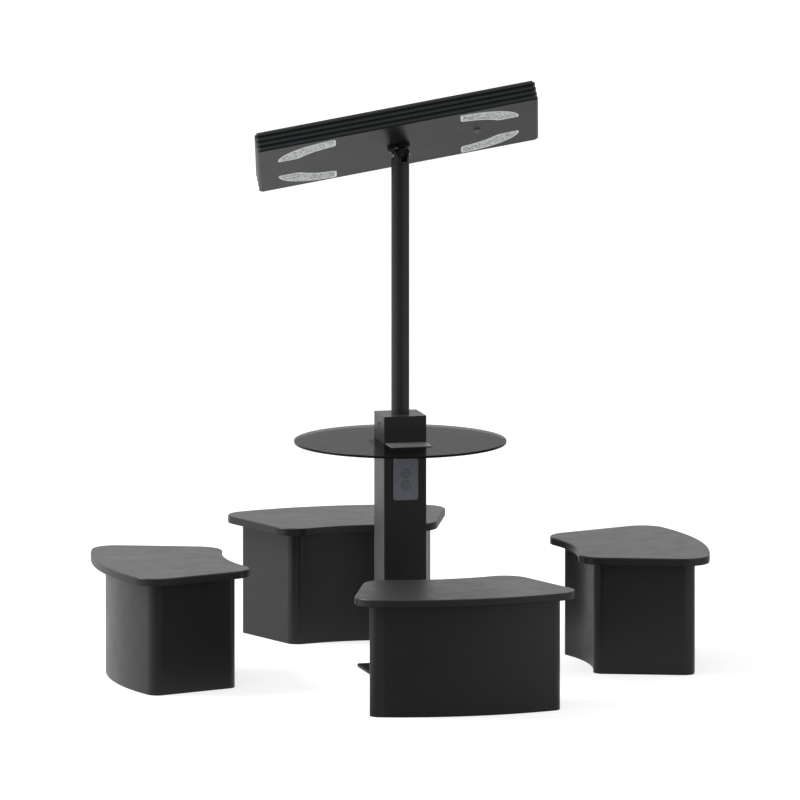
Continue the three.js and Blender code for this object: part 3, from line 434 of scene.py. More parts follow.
def led_white():
    f = Finish("led_board")
    tone = f.blend(f.noise(70.0, 4.0), colour(0.78, 0.78, 0.72), colour(0.86, 0.86, 0.82))
    return f.principled({"Base Color": tone, "Roughness": f.between(f.noise(220.0), 0.35, 0.5)})


CHARCOAL = colour(0.0175, 0.0179, 0.0186)
finishes = {
    "charcoal_paint": paint("charcoal_paint", CHARCOAL, 0.34, 0.4),
    "dark_paint": paint("dark_paint", colour(0.008, 0.0082, 0.0086), 0.4, 0.08),
    "head_paint": paint("head_paint", colour(0.0165, 0.0200, 0.0215), 0.32, 0.42, dust=0.0, unevenness=0.012),
    "cast_black": casting("cast_black", colour(0.003, 0.003, 0.0032), CHARCOAL),
    "zinc_steel": metal("zinc_steel", colour(0.56, 0.58, 0.60), 0.3),
    "black_steel": metal("black_steel", colour(0.05, 0.05, 0.052), 0.35),
    "clamp_steel": paint("clamp_steel", colour(0.15, 0.15, 0.151), 0.34, 0.35),
    "cover_plastic": clear_sheet("cover_plastic", colour(0.82, 0.84, 0.89), (0.03, 0.4), 0.12,
                                 colour(0.41, 0.425, 0.455), 0.28),
    "socket_plastic": plastic("socket_plastic", colour(0.008, 0.009, 0.012), 0.4),
    "grey_plastic": plastic("grey_plastic", colour(0.17, 0.18, 0.19), 0.45),
    "battery_case": plastic("battery_case", colour(0.012, 0.045, 0.15), 0.32),
    "rubber_seal": plastic("rubber_seal", colour(0.008, 0.008, 0.008), 0.7, level=0.3),
    "tinted_glass": clear_sheet("tinted_glass", grey(0.22), (0.03, 0.10), 0.03, grey(0.02), 0.2),
    "panel_glass": clear_sheet("panel_glass", grey(0.94), (0.02, 0.35), 0.18, inner_gloss=False),
    "solar_cells": plastic("solar_backsheet", colour(0.06, 0.062, 0.066), 0.5, level=0.1),
    "lens_crystal": crystal(),
    "led_board": led_white(),
    "sensor_dome": plastic("sensor_dome", colour(0.26, 0.265, 0.27), 0.3),
}
frame_finish = plastic("socket_frame", colour(0.48, 0.50, 0.54), 0.42)
# The lens lip gets a painted glow, which paints its rim as a bright line.
lip_finish = plastic("lens_lip", colour(0.66, 0.70, 0.695), 0.12, painted_glow=0.35)
cell_finish = solar_cell()
rim_finish = glass_rim()


# Outlines, as lists of flat points that always have the same count
def on_circle(centre, radius, turn):
    return (centre[0] + radius * math.cos(turn), centre[1] + radius * math.sin(turn))


def arc(centre, radius, start, end, steps):
    """Points from the start of an arc up to the one before its end."""
    return [on_circle(centre, radius, start + (end - start) * i / steps) for i in range(steps)]


def rectangle(x0, y0, x1, y1):
    return [(x0, y0), (x1, y0), (x1, y1), (x0, y1)]


def rounded_rectangle(width, depth, radius, steps=CORNER_STEPS):
    x, y = width / 2 - radius, depth / 2 - radius
    points = []
    for index, centre in enumerate(((x, y), (-x, y), (-x, -y), (x, -y))):
        start = index * math.pi / 2
        end = start + math.pi / 2
        points += arc(centre, radius, start, end, steps)
        points.append(on_circle(centre, radius, end))
    return points


def rectangle_plan(width, depth, corner):
    """The plan(inset) of a rounded rectangle that is drawn in by its inset."""
    def plan(inset):
        left = max(corner - inset, LEAST_CORNER)
        return rounded_rectangle(width - 2 * inset, depth - 2 * inset, left)
    return plan


def circle(radius, steps=ROUND_STEPS):
    return arc((0, 0), radius, 0, 2 * math.pi, steps)


def fan(inset):
    """A stool's plan round the pedestal axis, on the +X side, drawn in by inset."""
    along = Vector((math.cos(FAN_SPLAY), math.sin(FAN_SPLAY)))
    normal = Vector((-along.y, along.x))

    def corner(radius, ring, side):
        r = max(radius - inset, BOARD_EDGE)
        start = Vector((FAN_WIDTH_AT, FAN_HALF_WIDTH)) - normal * (inset + r)
        reach = ring - side * r
        dot = start.dot(along)
        run = -dot + math.sqrt(dot * dot - start.length_squared + reach * reach)
        return r, start + along * run

    outer_ring, inner_ring = STOOL_OUTER - inset, STOOL_INNER + inset
    outer_r, outer = corner(FAN_OUTER_CORNER, outer_ring, 1)
    inner_r, inner = corner(FAN_INNER_CORNER, inner_ring, -1)
    outer_turn, inner_turn = math.atan2(outer.y, outer.x), math.atan2(inner.y, inner.x)
    side_turn = math.pi / 2 + FAN_SPLAY
    half = arc(outer, outer_r, outer_turn, side_turn, FAN_STEPS["corner"])
    half.append(on_circle(outer, outer_r, side_turn))
    half += arc(inner, inner_r, side_turn, inner_turn + math.pi, FAN_STEPS["corner"])
    mirrored = [(x, -y) for x, y in reversed(half)]
    outside = arc((0, 0), outer_ring, -outer_turn, outer_turn, FAN_STEPS["outer"])
    inside = arc((0, 0), inner_ring, inner_turn, -inner_turn, FAN_STEPS["inner"])
    inside.append(on_circle((0, 0), inner_ring, -inner_turn))
    return outside + half + inside + mirrored


def lens_outline(grow):
    """One lamp's quarter band round its own centre, made larger by grow."""
    a, b = LENS_OUTER[0] + grow, LENS_OUTER[1] + grow
    q = LENS_CORNER
    slant = grow * LENS_SLANT_SHARE
    in_x, in_y = LENS_INNER[0] - slant, LENS_INNER[1] - slant
    slope = Vector((-in_x, in_y)).normalized()
    start = math.pi + math.asin((q - grow) / b)
    end = math.pi * 1.5 - math.asin((q - grow) / a)

    def curve(p0, p1, p2):
        shares = [i / LENS_STEPS for i in range(LENS_STEPS)]
        return [tuple((1 - t) ** 2 * u + 2 * t * (1 - t) * v + t * t * w for u, v, w in zip(p0, p1, p2))
                for t in shares]

    outer_steps = 3 * LENS_STEPS
    turns = [start + (end - start) * i / outer_steps for i in range(outer_steps)]
    points = [(a * math.cos(t), b * math.sin(t)) for t in turns]
    outer_end = (a * math.cos(end), b * math.sin(end))
    points += curve(outer_end, (grow, -b), (grow, -b + q))
    points.append((grow, -b + q))
    inner_start = (grow + slope.x * q, -in_y + slope.y * q)
    points += curve((grow, -in_y - q), (grow, -in_y), inner_start)
    bow = (-in_x / 2 - LENS_BULGE, -in_y / 2 - LENS_BULGE)
    inner_end = (-in_x - slope.x * q, grow - slope.y * q)
    points += curve(inner_start, bow, inner_end)
    points += curve(inner_end, (-in_x, grow), (-in_x - q, grow))
    points.append((-in_x - q, grow))
    points += curve((-a + q, grow), (-a, grow), (a * math.cos(start), b * math.sin(start)))
    return points


def lamp_outline(side, grow):
    """A lamp's outline in the head's own plane, run anticlockwise."""
    points = [(side[0] * (LENS_FROM_CENTRE[0] - x), side[1] * (LENS_FROM_CENTRE[1] - y))
              for x, y in lens_outline(grow)]
    return points[::-1] if side[0] * side[1] < 0 else points


# Meshes
def level(points, z):
    return [Vector((x, y, z)) for x, y in points]


def eased(outline, low, high, lower_edge, upper_edge, steps=5):
    """Rings of a body with level ends and rounded edges. outline(inset) gives its plan."""
    rings = []
    turns = [math.pi / 2 * i / steps for i in range(steps + 1)]
    for turn in turns:
        inset, rise = lower_edge * (1 - math.sin(turn)), lower_edge * (1 - math.cos(turn))
        rings.append(level(outline(inset), low + rise))
    for turn in turns:
        inset, drop = upper_edge * (1 - math.cos(turn)), upper_edge * (1 - math.sin(turn))
        rings.append(level(outline(inset), high - drop))
    return rings


def loft(rings, wrap=False, bottom=True):
    """A mesh upwards through rings of equal count, capped at its ends or wrapped from last to first."""
    count = len(rings[0])
    points = [p for ring in rings for p in ring]
    faces = []
    for i in range(len(rings) if wrap else len(rings) - 1):
        low, high = i * count, ((i + 1) % len(rings)) * count
        faces += [(low + k, low + (k + 1) % count, high + (k + 1) % count, high + k) for k in range(count)]
    if not wrap:
        faces.append(tuple(range(len(points) - count, len(points))))
    if not wrap and bottom:
        faces.append(tuple(range(count - 1, -1, -1)))
    mesh = bpy.data.meshes.new("loft")
    mesh.from_pydata(points, [], faces)
    mesh.update()
    return mesh


def lathe(profile, steps=ROUND_STEPS):
    """A body of revolution round Z, whose profile closes on itself."""
    return loft([level(circle(r, steps), z) for r, z in profile], wrap=True)


def slab(outline, low, high):
    return loft([level(outline, low), level(outline, high)])


def add_ring(body, outline, z):
    return [body.verts.new((x, y, z)) for x, y in outline]


def add_walls(body, low, high):
    """Joins two rings of equal count in a bmesh with faces."""
    for i in range(len(low)):
        after = (i + 1) % len(low)
        body.faces.new((low[i], low[after], high[after], high[i]))


def add_slab(body, outline, low, high):
    """Adds a flat piece with the outline to a bmesh."""
    bottom, top = add_ring(body, outline, low), add_ring(body, outline, high)
    body.faces.new(bottom[::-1])
    body.faces.new(top)
    add_walls(body, bottom, top)


def add_frame(body, outer, inner, low, high):
    """Adds a ring with an outer and an inner outline of equal count to a bmesh."""
    sides = ((outer, low), (outer, high), (inner, high), (inner, low))
    rings = [add_ring(body, outline, z) for outline, z in sides]
    for k, ring in enumerate(rings):
        add_walls(body, ring, rings[(k + 1) % len(rings)])


def finished(body):
    mesh = bpy.data.meshes.new("body")
    body.to_mesh(mesh)
    body.free()
    return mesh


def placed(name, data):
    """An object in the scene that shows a mesh, a lamp or a camera."""
    obj = bpy.data.objects.new(name, data)
    bpy.context.scene.collection.objects.link(obj)
    return obj


def cut(mesh, *cutters):
    """The mesh with the cutters taken out of it."""
    obj = placed("uncut", mesh)
    others = [placed("cutter", cutter) for cutter in cutters]
    for other in others:
        step = obj.modifiers.new("cut", "BOOLEAN")
        step.operation = "DIFFERENCE"
        step.solver = "EXACT"
        step.object = other
    graph = bpy.context.evaluated_depsgraph_get()
    result = bpy.data.meshes.new_from_object(obj.evaluated_get(graph))
    for other in (obj, *others):
        bpy.data.objects.remove(other)
    return result


def moved(mesh, matrix):
    mesh.transform(matrix)
    if matrix.determinant() < 0:
        mesh.flip_normals()
    return mesh


def coat(mesh, finish):
    """Gives a mesh its finish and smooth faces."""
    mesh.materials.clear()
    mesh.materials.append(finish)
    mesh.polygons.foreach_set("use_smooth", [True] * len(mesh.polygons))


def ease_edges(obj, width, angle, segments, harden):
    step = obj.modifiers.new("edges", "BEVEL")
    step.width = width
    step.segments = segments
    step.limit_method = "ANGLE"
    step.angle_limit = angle
    step.harden_normals = harden


def show(name, mesh, slot, body, nodes=(), bevel=0.0, material=None, angle=SHARP_ANGLE, weigh=True):
    """Puts a finished mesh in the scene, riding on its body and standing for its nodes."""
    mesh.name = name
    coat(mesh, material or finishes[slot])
    mesh.set_sharp_from_angle(angle=angle)
    obj = placed(name, mesh)
    if bevel:
        ease_edges(obj, bevel, BEVEL_ANGLE, segments=3, harden=True)
    elif weigh:
        obj.modifiers.new("normals", "WEIGHTED_NORMAL").keep_sharp = True
    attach(obj, body)
    if nodes:
        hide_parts(*nodes)
    return obj


def dress(node, finish):
    """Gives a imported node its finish, smooth round faces and eased edges."""
    obj = frame["nodes"][node]
    coat(obj.data, finish)
    obj.modifiers.new("weld", "WELD").merge_threshold = SAME_POINT
    flat = obj.modifiers.new("flat", "DECIMATE")
    flat.decimate_type = "DISSOLVE"
    flat.angle_limit = PACKED_FLAT
    ease_edges(obj, PACKED_EDGE, PACKED_ANGLE, segments=2, harden=False)
    obj.modifiers.new("split", "EDGE_SPLIT").split_angle = PACKED_ANGLE
    obj.modifiers.new("normals", "WEIGHTED_NORMAL").keep_sharp = True


# Stools
def stools():
    board_low, board_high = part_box("stool_board_front")
    shell_low, shell_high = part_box("stool_shell_front")
    inner = fan(SHELL_INSET + SHELL_WALL)
    for index, seat in enumerate(SEATS):
        turn = Matrix.Rotation((index - 1) * math.pi / 2, 4, "Z")
        board = loft(eased(fan, board_low.z, board_high.z, BOARD_LOWER_EDGE, BOARD_EDGE))
        show(f"seat_board_{seat}", moved(board, turn), "charcoal_paint", "root", [f"stool_board_{seat}"])
        rings = [level(inner, shell_high.z - SHELL_WALL), level(inner, shell_low.z)]
        rings += eased(shell_plan, shell_low.z, shell_high.z, SHELL_EDGE, SHELL_TOP_EDGE, steps=3)[1:]
        skin = loft(rings)
        show(f"seat_shell_{seat}", moved(skin, turn), "charcoal_paint", "root", [f"stool_shell_{seat}"])


def shell_plan(inset):
    return fan(SHELL_INSET + inset)


# Pedestal, table and mast
def mast():
    low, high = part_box("mast_tube")
    outer = (high.x - low.x) / 2
    inner = outer - MAST_WALL
    profile = [(inner, low.z), (outer - MAST_EDGE, low.z), (outer, low.z + MAST_EDGE),
               (outer, high.z - MAST_EDGE), (outer - MAST_EDGE, high.z), (inner, high.z)]
    show("mast", lathe(profile), "charcoal_paint", "root", ["mast_tube"])


def pedestal_cap():
    low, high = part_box("pedestal_cap")
    plan = rectangle_plan(high.x - low.x, high.x - low.x, COLUMN_CORNER)
    lid = loft(eased(plan, high.z - CAP_THICKNESS, high.z, FIT, CAP_EDGE, steps=4))
    mast_low, mast_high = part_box("mast_tube")
    radius = (mast_high.x - mast_low.x) / 2 + 2 * FIT
    hole = slab(circle(radius), high.z - 2 * CAP_THICKNESS, high.z + CAP_THICKNESS)
    show("pedestal_lid", cut(lid, hole), "charcoal_paint", "root", ["pedestal_cap"])


def glass_table():
    low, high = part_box("glass_table")
    radius = (high.x - low.x) / 2

    def plan(inset):
        return circle(radius - inset, TABLE_STEPS)

    disc = loft(eased(plan, low.z, high.z, TABLE_EDGE, TABLE_EDGE, steps=4))
    column_low, column_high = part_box("pedestal_column")
    side = column_high.x - column_low.x + 2 * TABLE_HOLE_GAP
    square = rounded_rectangle(side, side, COLUMN_CORNER + TABLE_HOLE_GAP)
    mesh = cut(disc, slab(square, low.z - TABLE_EDGE, high.z + TABLE_EDGE))
    obj = show("table_glass", mesh, "tinted_glass", "root", ["glass_table"])
    obj.data.materials.append(rim_finish)
    for face in obj.data.polygons:
        face.material_index = 1 if abs(face.normal.z) < TABLE_RIM_SLOPE else 0


# Lamp head
def ridge_inset(share):
    """How far the side is drawn in at a share of one ridge's height."""
    def step(x):
        x = min(max(x, 0.0), 1.0)
        return x * x * (3 - 2 * x)
    rise, fall = share / RIDGE_SLOPE_SHARE, (RIDGE_END_SHARE - share) / RIDGE_SLOPE_SHARE
    return RIDGE_DEPTH * (1 - step(rise) * step(fall))


def head_housing():
    pitch = HEAD_THICKNESS / RIDGES
    plan = rectangle_plan(HEAD_LENGTH, HEAD_WIDTH, HEAD_CORNER)
    rings = []
    for i in range(RIDGES * RIDGE_STEPS + 1):
        share = (i % RIDGE_STEPS) / RIDGE_STEPS
        rings.append(level(plan(ridge_inset(share)), pitch * i / RIDGE_STEPS))
    deck = HEAD_THICKNESS - GLASS_INSET - GLASS_THICKNESS - LAMINATE_THICKNESS - 2 * FIT
    length, width = HEAD_LENGTH - 2 * HEAD_WALL, HEAD_WIDTH - 2 * HEAD_WALL
    hollow = rounded_rectangle(length - 2 * LEDGE, width - 2 * LEDGE, HEAD_CORNER)
    cutters = [slab(hollow, HEAD_FLOOR, CUTTER_TOP),
               slab(rounded_rectangle(length, width, PANE_CORNER), deck, CUTTER_TOP)]
    cutters += [slab(lamp_outline(side, 0.0), -HEAD_FLOOR, 2 * HEAD_FLOOR) for side in LENSES.values()]
    body = cut(loft(rings), *cutters)
    show("head_body", moved(body, HEAD_FRAME), "head_paint", "lamp_head", ["head_housing"], bevel=HEAD_EDGE)


def within(point, border):
    """True if the point lies inside the closed outline."""
    hit = False
    for i, a in enumerate(border):
        b = border[i - 1]
        if (a.y > point.y) != (b.y > point.y):
            if point.x < (b.x - a.x) * (point.y - a.y) / (b.y - a.y) + a.x:
                hit = not hit
    return hit


def crushed_ice(outline, floor, chance):
    """A field of uneven facets inside an outline, hanging down from floor."""
    border = [Vector(p) for p in outline]
    low = Vector((min(p.x for p in border), min(p.y for p in border)))
    high = Vector((max(p.x for p in border), max(p.y for p in border)))
    points, drops = list(border), [0.0] * len(border)
    row_pitch = CRYSTAL_PITCH * math.sqrt(3) / 2
    stray = CRYSTAL_STRAY_SHARE
    for row in range(int((high.y - low.y) / row_pitch) + 2):
        for column in range(int((high.x - low.x) / CRYSTAL_PITCH) + 2):
            off = Vector((chance.uniform(-stray, stray), chance.uniform(-stray, stray))) * CRYSTAL_PITCH
            here = low + Vector(((column + 0.5 * (row % 2)) * CRYSTAL_PITCH, row * row_pitch)) + off
            drop = chance.random()
            nearest = min((here - p).length for p in border)
            if within(here, border) and nearest > CRYSTAL_PITCH * CRYSTAL_BORDER_SHARE:
                points.append(here)
                drops.append(CRYSTAL_HEIGHT * drop)
    count = len(border)
    edges = [(i, (i + 1) % count) for i in range(count)]
    mesh = geometry.delaunay_2d_cdt(points, edges, [list(range(count))], 1, SAME_POINT)
    spots, faces, origins = mesh[0], mesh[2], mesh[3]
    heights = [drops[origin[0]] if origin else 0.0 for origin in origins]
    return [Vector((p.x, p.y, floor - drop)) for p, drop in zip(spots, heights)], faces


def lens_rings(side):
    """Rings of one lens, from its sunk floor over its lip and up into the housing."""
    def ring(inset, z):
        return level(lamp_outline(side, -LENS_GAP - inset), z)
    edge = LIP_WIDTH * LIP_EDGE_SHARE
    chamfer = edge * LIP_CHAMFER_SHARE
    return [ring(LIP_WIDTH + edge, LENS_FLOOR), ring(LIP_WIDTH, edge / 2 - LENS_PROUD),
            ring(LIP_WIDTH * LIP_FLAT_SHARE, -LENS_PROUD), ring(edge, -LENS_PROUD),
            ring(chamfer, chamfer - LENS_PROUD), ring(0.0, edge - LENS_PROUD), ring(0.0, HEAD_FLOOR)]


def lenses():
    chance = random.Random(CRYSTAL_SEED)
    for name, side in LENSES.items():
        rings = lens_rings(side)
        floor_outline = [(p.x, p.y) for p in rings[0]]
        field, faces = crushed_ice(floor_outline, LENS_FLOOR, chance)
        body = bmesh.new()
        body.from_mesh(loft(rings, bottom=False))
        made = [body.verts.new(p) for p in field]
        for face in faces:
            body.faces.new([made[i] for i in reversed(face)])
        bmesh.ops.remove_doubles(body, verts=body.verts, dist=SAME_POINT)
        lip_faces = (len(rings) - 1) * len(floor_outline)
        mesh = moved(finished(body), HEAD_FRAME)
        obj = show(f"crystal_lens_{name}", mesh, "lens_crystal", "lamp_head", [f"lens_{name}"],
                   angle=ICE_ANGLE, weigh=False)
        obj.data.materials.append(lip_finish)
        for face in obj.data.polygons:
            face.material_index = 1 if face.index < lip_faces else 0


def sensor():
    """A faceted dome that bulges from a round bezel."""
    spot = Matrix.Translation((SENSOR["x"], SENSOR["y"], 0))
    place = HEAD_FRAME @ spot @ Matrix.Rotation(math.pi, 4, "X")
    radius, stem, lip = SENSOR["radius"], SENSOR["stem"], SENSOR["lip"]
    chamfer = lip * SENSOR_CHAMFER_SHARE
    centre = FIT / 3
    bezel = [(centre, -SENSOR["stem_length"]), (stem, -SENSOR["stem_length"]), (stem, FIT), (radius, FIT),
             (radius, lip - chamfer), (radius - chamfer, lip), (radius * SENSOR_RIM_SHARE, lip),
             (radius * SENSOR_WELL_SHARE, FIT), (centre, FIT)]
    show("sensor_bezel", moved(lathe(bezel, BEZEL_STEPS), place), "sensor_dome", "lamp_head",
         ["motion_sensor"])
    rise, belt = SENSOR["dome"] - lip, radius * SENSOR_DOME_SHARE
    rings = [level(circle(belt, DOME_STEPS), FIT * 2)]
    for i in range(SENSOR_RINGS):
        turn = math.pi / 2 * i / SENSOR_RINGS
        half_step = math.pi / DOME_STEPS * (i % 2)
        points = arc((0, 0), belt * math.cos(turn), half_step, half_step + 2 * math.pi, DOME_STEPS)
        rings.append(level(points, lip + rise * math.sin(turn)))
    show("sensor_lens", moved(loft(rings), place), "sensor_dome", "lamp_head", angle=DOME_ANGLE,
         weigh=False)


def solar_panel():
    glass_high = HEAD_THICKNESS - GLASS_INSET
    glass_low = glass_high - GLASS_THICKNESS
    sheet_high = glass_low - FIT
    length = HEAD_LENGTH - 2 * HEAD_WALL - 2 * GLASS_INSET
    width = HEAD_WIDTH - 2 * HEAD_WALL - 2 * GLASS_INSET
    plan = rectangle_plan(length, width, PANE_CORNER)
    sheet_low = sheet_high - LAMINATE_THICKNESS
    sheet = eased(plan, sheet_low, sheet_high - CELL_ROOM, LAMINATE_EDGE, LAMINATE_EDGE, steps=2)
    show("solar_backsheet", moved(loft(sheet), HEAD_FRAME), "solar_cells", "lamp_head",
         ["solar_laminate"])
    pane = loft(eased(plan, glass_low, glass_high, GLASS_LOWER_EDGE, GLASS_UPPER_EDGE, steps=3))
    show("solar_pane", moved(pane, HEAD_FRAME), "panel_glass", "lamp_head", ["solar_glass"])
    cells, ribbons = cell_field(sheet_high - CELL_BELOW_GLASS)
    show("solar_cells", moved(finished(cells), HEAD_FRAME), "solar_cells", "lamp_head",
         material=cell_finish, weigh=False)
    show("cell_ribbons", moved(finished(ribbons), HEAD_FRAME), "zinc_steel", "lamp_head",
         weigh=False)


def cell_field(top):
    """The cells with their upper faces at top, and the ribbons and bars that join them."""
    cells, ribbons = bmesh.new(), bmesh.new()
    h, pitch = CELL["side"] / 2, CELL["side"] + CELL["gap"]
    c = h - CELL["clipped"]
    shape = [(c, -h), (h, -c), (h, c), (c, h), (-c, h), (-h, c), (-h, -c), (-c, -h)]
    columns = [(i - (CELL["columns"] - 1) / 2) * pitch for i in range(CELL["columns"])]
    rows = [(i - (CELL["rows"] - 1) / 2) * pitch for i in range(CELL["rows"])]
    for x in columns:
        for y in rows:
            add_slab(cells, [(x + px, y + py) for px, py in shape], top - CELL["thickness"], top)
    end = len(columns) * pitch / 2 + RIBBON["past"]
    half = RIBBON["half_width"]
    for row in rows:
        for bar in range(RIBBON["count"]):
            y = row + (bar - (RIBBON["count"] - 1) / 2) * CELL["side"] / RIBBON["count"]
            add_slab(ribbons, rectangle(-end, y - half, end, y + half), top, top + RIBBON["height"])
    reach = len(rows) * pitch / 2
    for x in (-end, end):
        bar = rectangle(x - BUS_BAR["half_width"], -reach, x + BUS_BAR["half_width"], reach)
        add_slab(ribbons, bar, top, top + BUS_BAR["height"])
    return cells, ribbons


# Fasteners
def hexagon(flat, most=math.inf):
    """A ring with six flats at a distance from the axis, its corners cut at most."""
    points = []
    for i in range(BOLT_STEPS):
        turn = 2 * math.pi * i / BOLT_STEPS
        off = (turn + math.pi / 6) % (math.pi / 3) - math.pi / 6
        radius = min(flat / math.cos(off), most)
        points.append(on_circle((0, 0), radius, turn))
    return points


def bolt_ring(radius, z):
    return level(circle(radius, BOLT_STEPS), z)


def shank_end(shank, reach):
    """The lowest two rings of a shank, with a chamfered point."""
    chamfer = shank * POINT_SHARE
    return [bolt_ring(shank - chamfer, -reach), bolt_ring(shank, chamfer - reach)]


def hex_bolt(size):
    """Rings of a bolt from the end of its shank up to its chamfered head."""
    shank, washer, top = size["shank"], size["washer"], size["washer_height"]
    bevel = top * WASHER_BEVEL_SHARE
    rings = shank_end(shank, size["reach"])
    rings += [bolt_ring(shank, 0.0), bolt_ring(washer, 0.0), bolt_ring(washer, top - bevel),
              bolt_ring(washer - bevel, top)]
    corner = size["flat"] * 2 / math.sqrt(3)
    rim = size["flat"] * BOLT_RIM_SHARE
    rings.append(level(hexagon(size["flat"], corner), top))
    for i in range(BOLT_RINGS + 1):
        most = corner + (rim - corner) * i / BOLT_RINGS
        rings.append(level(hexagon(size["flat"], most), top + size["head"] - (most - rim) * BOLT_SLOPE))
    return rings


def screw_rings(size, reach, head):
    """Rings of a screw with a hexagon recess. head is the outline of the part above its shank."""
    top = head[-1][1]
    recess = hexagon(size["recess"])
    rings = shank_end(size["shank"], reach) + [bolt_ring(radius, z) for radius, z in head]
    return rings + [level(recess, top), level(recess, top - size["depth"])]


def anchor_screws():
    """Countersunk screws that sit just below the top of the base plate."""
    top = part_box("base_plate")[1].z - ANCHOR["sink"]
    shank, rim, edge = ANCHOR["shank"], ANCHOR["head"] - ANCHOR["edge"], ANCHOR["edge"]
    outline = [(shank, shank - ANCHOR["head"]), (rim, -edge), (rim, 0.0)]
    for i in range(1, 5):
        low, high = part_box(f"anchor_bolt_{i}")
        screw = loft(screw_rings(ANCHOR, top - low.z, outline))
        place = Matrix.Translation(((low.x + high.x) / 2, (low.y + high.y) / 2, top))
        turned = place @ Matrix.Rotation(ANCHOR_TURN * i, 4, "Z")
        show(f"ground_screw_{i}", moved(screw, turned), "black_steel", "root", [f"anchor_bolt_{i}"])


def cap_screw():
    """A button head with a hexagon recess in the pedestal's left face."""
    low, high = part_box("cap_screw")
    radius, dome = CAP_SCREW["radius"], CAP_SCREW["dome"]
    outline = [(CAP_SCREW["shank"], 0.0)]
    for i in range(DOME_RINGS + 1):
        turn = DOME_END * i / DOME_RINGS
        outline.append((radius * math.cos(turn), dome * math.sin(turn) / math.sin(DOME_END)))
    screw = loft(screw_rings(CAP_SCREW, CAP_SCREW["reach"], outline))
    place = Matrix.Translation((low.x + dome, (low.y + high.y) / 2, (low.z + high.z) / 2))
    turned = place @ Matrix.Rotation(-math.pi / 2, 4, "Y")
    show("lid_screw", moved(screw, turned), "black_steel", "root", ["cap_screw"])


def flange_bolts():
    corners = ((-1, -1), (1, -1), (1, 1), (-1, 1))
    for i, (x, y) in enumerate(corners, 1):
        spot = (x * FLANGE_BOLT_SPACING, y * FLANGE_BOLT_SPACING, FLANGE_LEVEL - FIT)
        place = JOINT_FRAME @ Matrix.Translation(spot) @ Matrix.Rotation(math.pi, 4, "X")
        mesh = moved(loft(hex_bolt(FLANGE_BOLT)), place)
        show(f"head_bolt_{i}", mesh, "zinc_steel", "lamp_head", [f"flange_bolt_{i}"])


def tilt_bolt():
    """One long bolt through the fork, with a hexagon and a washer at each end."""
    axis = Vector((math.cos(AXIS_TURN), math.sin(AXIS_TURN), 0))
    half = fork_half_span(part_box("tilt_bolt")[1].x)
    end = hex_bolt(dict(TILT_BOLT, reach=half))[2:]
    upper = [[p + Vector((0, 0, half)) for p in ring] for ring in end]
    lower = [[Vector((p.x, -p.y, -p.z)) for p in ring] for ring in reversed(upper)]
    lower = [[ring[0]] + ring[:0:-1] for ring in lower]
    mesh = loft(lower + upper)
    place = Matrix.Translation((0, 0, JOINT_HEIGHT)) @ axis.to_track_quat("Z", "Y").to_matrix().to_4x4()
    show("tilt_bolt_steel", moved(mesh, place), "zinc_steel", "swivel_fork", ["tilt_bolt"])


def fork_half_span(right):
    """Half the distance between the washers' seats, from the right end of the turned bolt's box."""
    corner = TILT_BOLT["flat"] * 2 / math.sqrt(3)
    reach = (right - corner * math.sin(AXIS_TURN)) / math.cos(AXIS_TURN)
    return reach - TILT_BOLT["head"] - TILT_BOLT["washer_height"]


# Charging point
def charging_ports():
    """A steel shell and a plastic tongue in each of the four ports, and a ring round each well."""
    for name in ("upper", "lower"):
        low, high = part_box(f"socket_{name}")
        middle = (low.z + high.z) / 2
        floor_level = low.y + SOCKET_WELL
        back = floor_level + USB_PORT["depth"]
        w, h, t = USB_PORT["width"] / 2, USB_PORT["height"] / 2, USB_PORT["wall"]
        tw, th = USB_TONGUE["width"] / 2, USB_TONGUE["height"] / 2
        shells, tongues = bmesh.new(), bmesh.new()
        for side in (-1, 1):
            z = middle + side * USB_PORT["spacing"] / 2
            outer, inner = rectangle(-w, z - h, w, z + h), rectangle(-w + t, z - h + t, w - t, z + h - t)
            add_frame(shells, outer, inner, floor_level + USB_PORT["setback"], back)
            add_slab(tongues, rectangle(-tw, z - th, tw, z + th), floor_level + USB_TONGUE["setback"], back)
        upright = Matrix.Rotation(math.pi / 2, 4, "X") @ Matrix.Diagonal((1, 1, -1, 1))
        show(f"port_shells_{name}", moved(finished(shells), upright), "zinc_steel", "root",
             weigh=False)
        show(f"port_tongues_{name}", moved(finished(tongues), upright), "socket_plastic", "root",
             weigh=False)
        place = Matrix.Translation((0, low.y + SOCKET_RIM["setback"], middle))
        ring = moved(lathe(rim_profile(), BOLT_STEPS), place @ Matrix.Rotation(math.pi / 2, 4, "X"))
        show(f"socket_ring_{name}", ring, "socket_plastic", "root")


def rim_profile():
    well, rim, height = SOCKET_RIM["well"], SOCKET_RIM["radius"], SOCKET_RIM["height"]
    return [(well, 0.0), (rim, 0.0), (rim, SOCKET_RIM["edge"]), (rim - SOCKET_RIM["bevel"], height),
            (well + SOCKET_RIM["slope"], height), (well, SOCKET_RIM["lip"])]


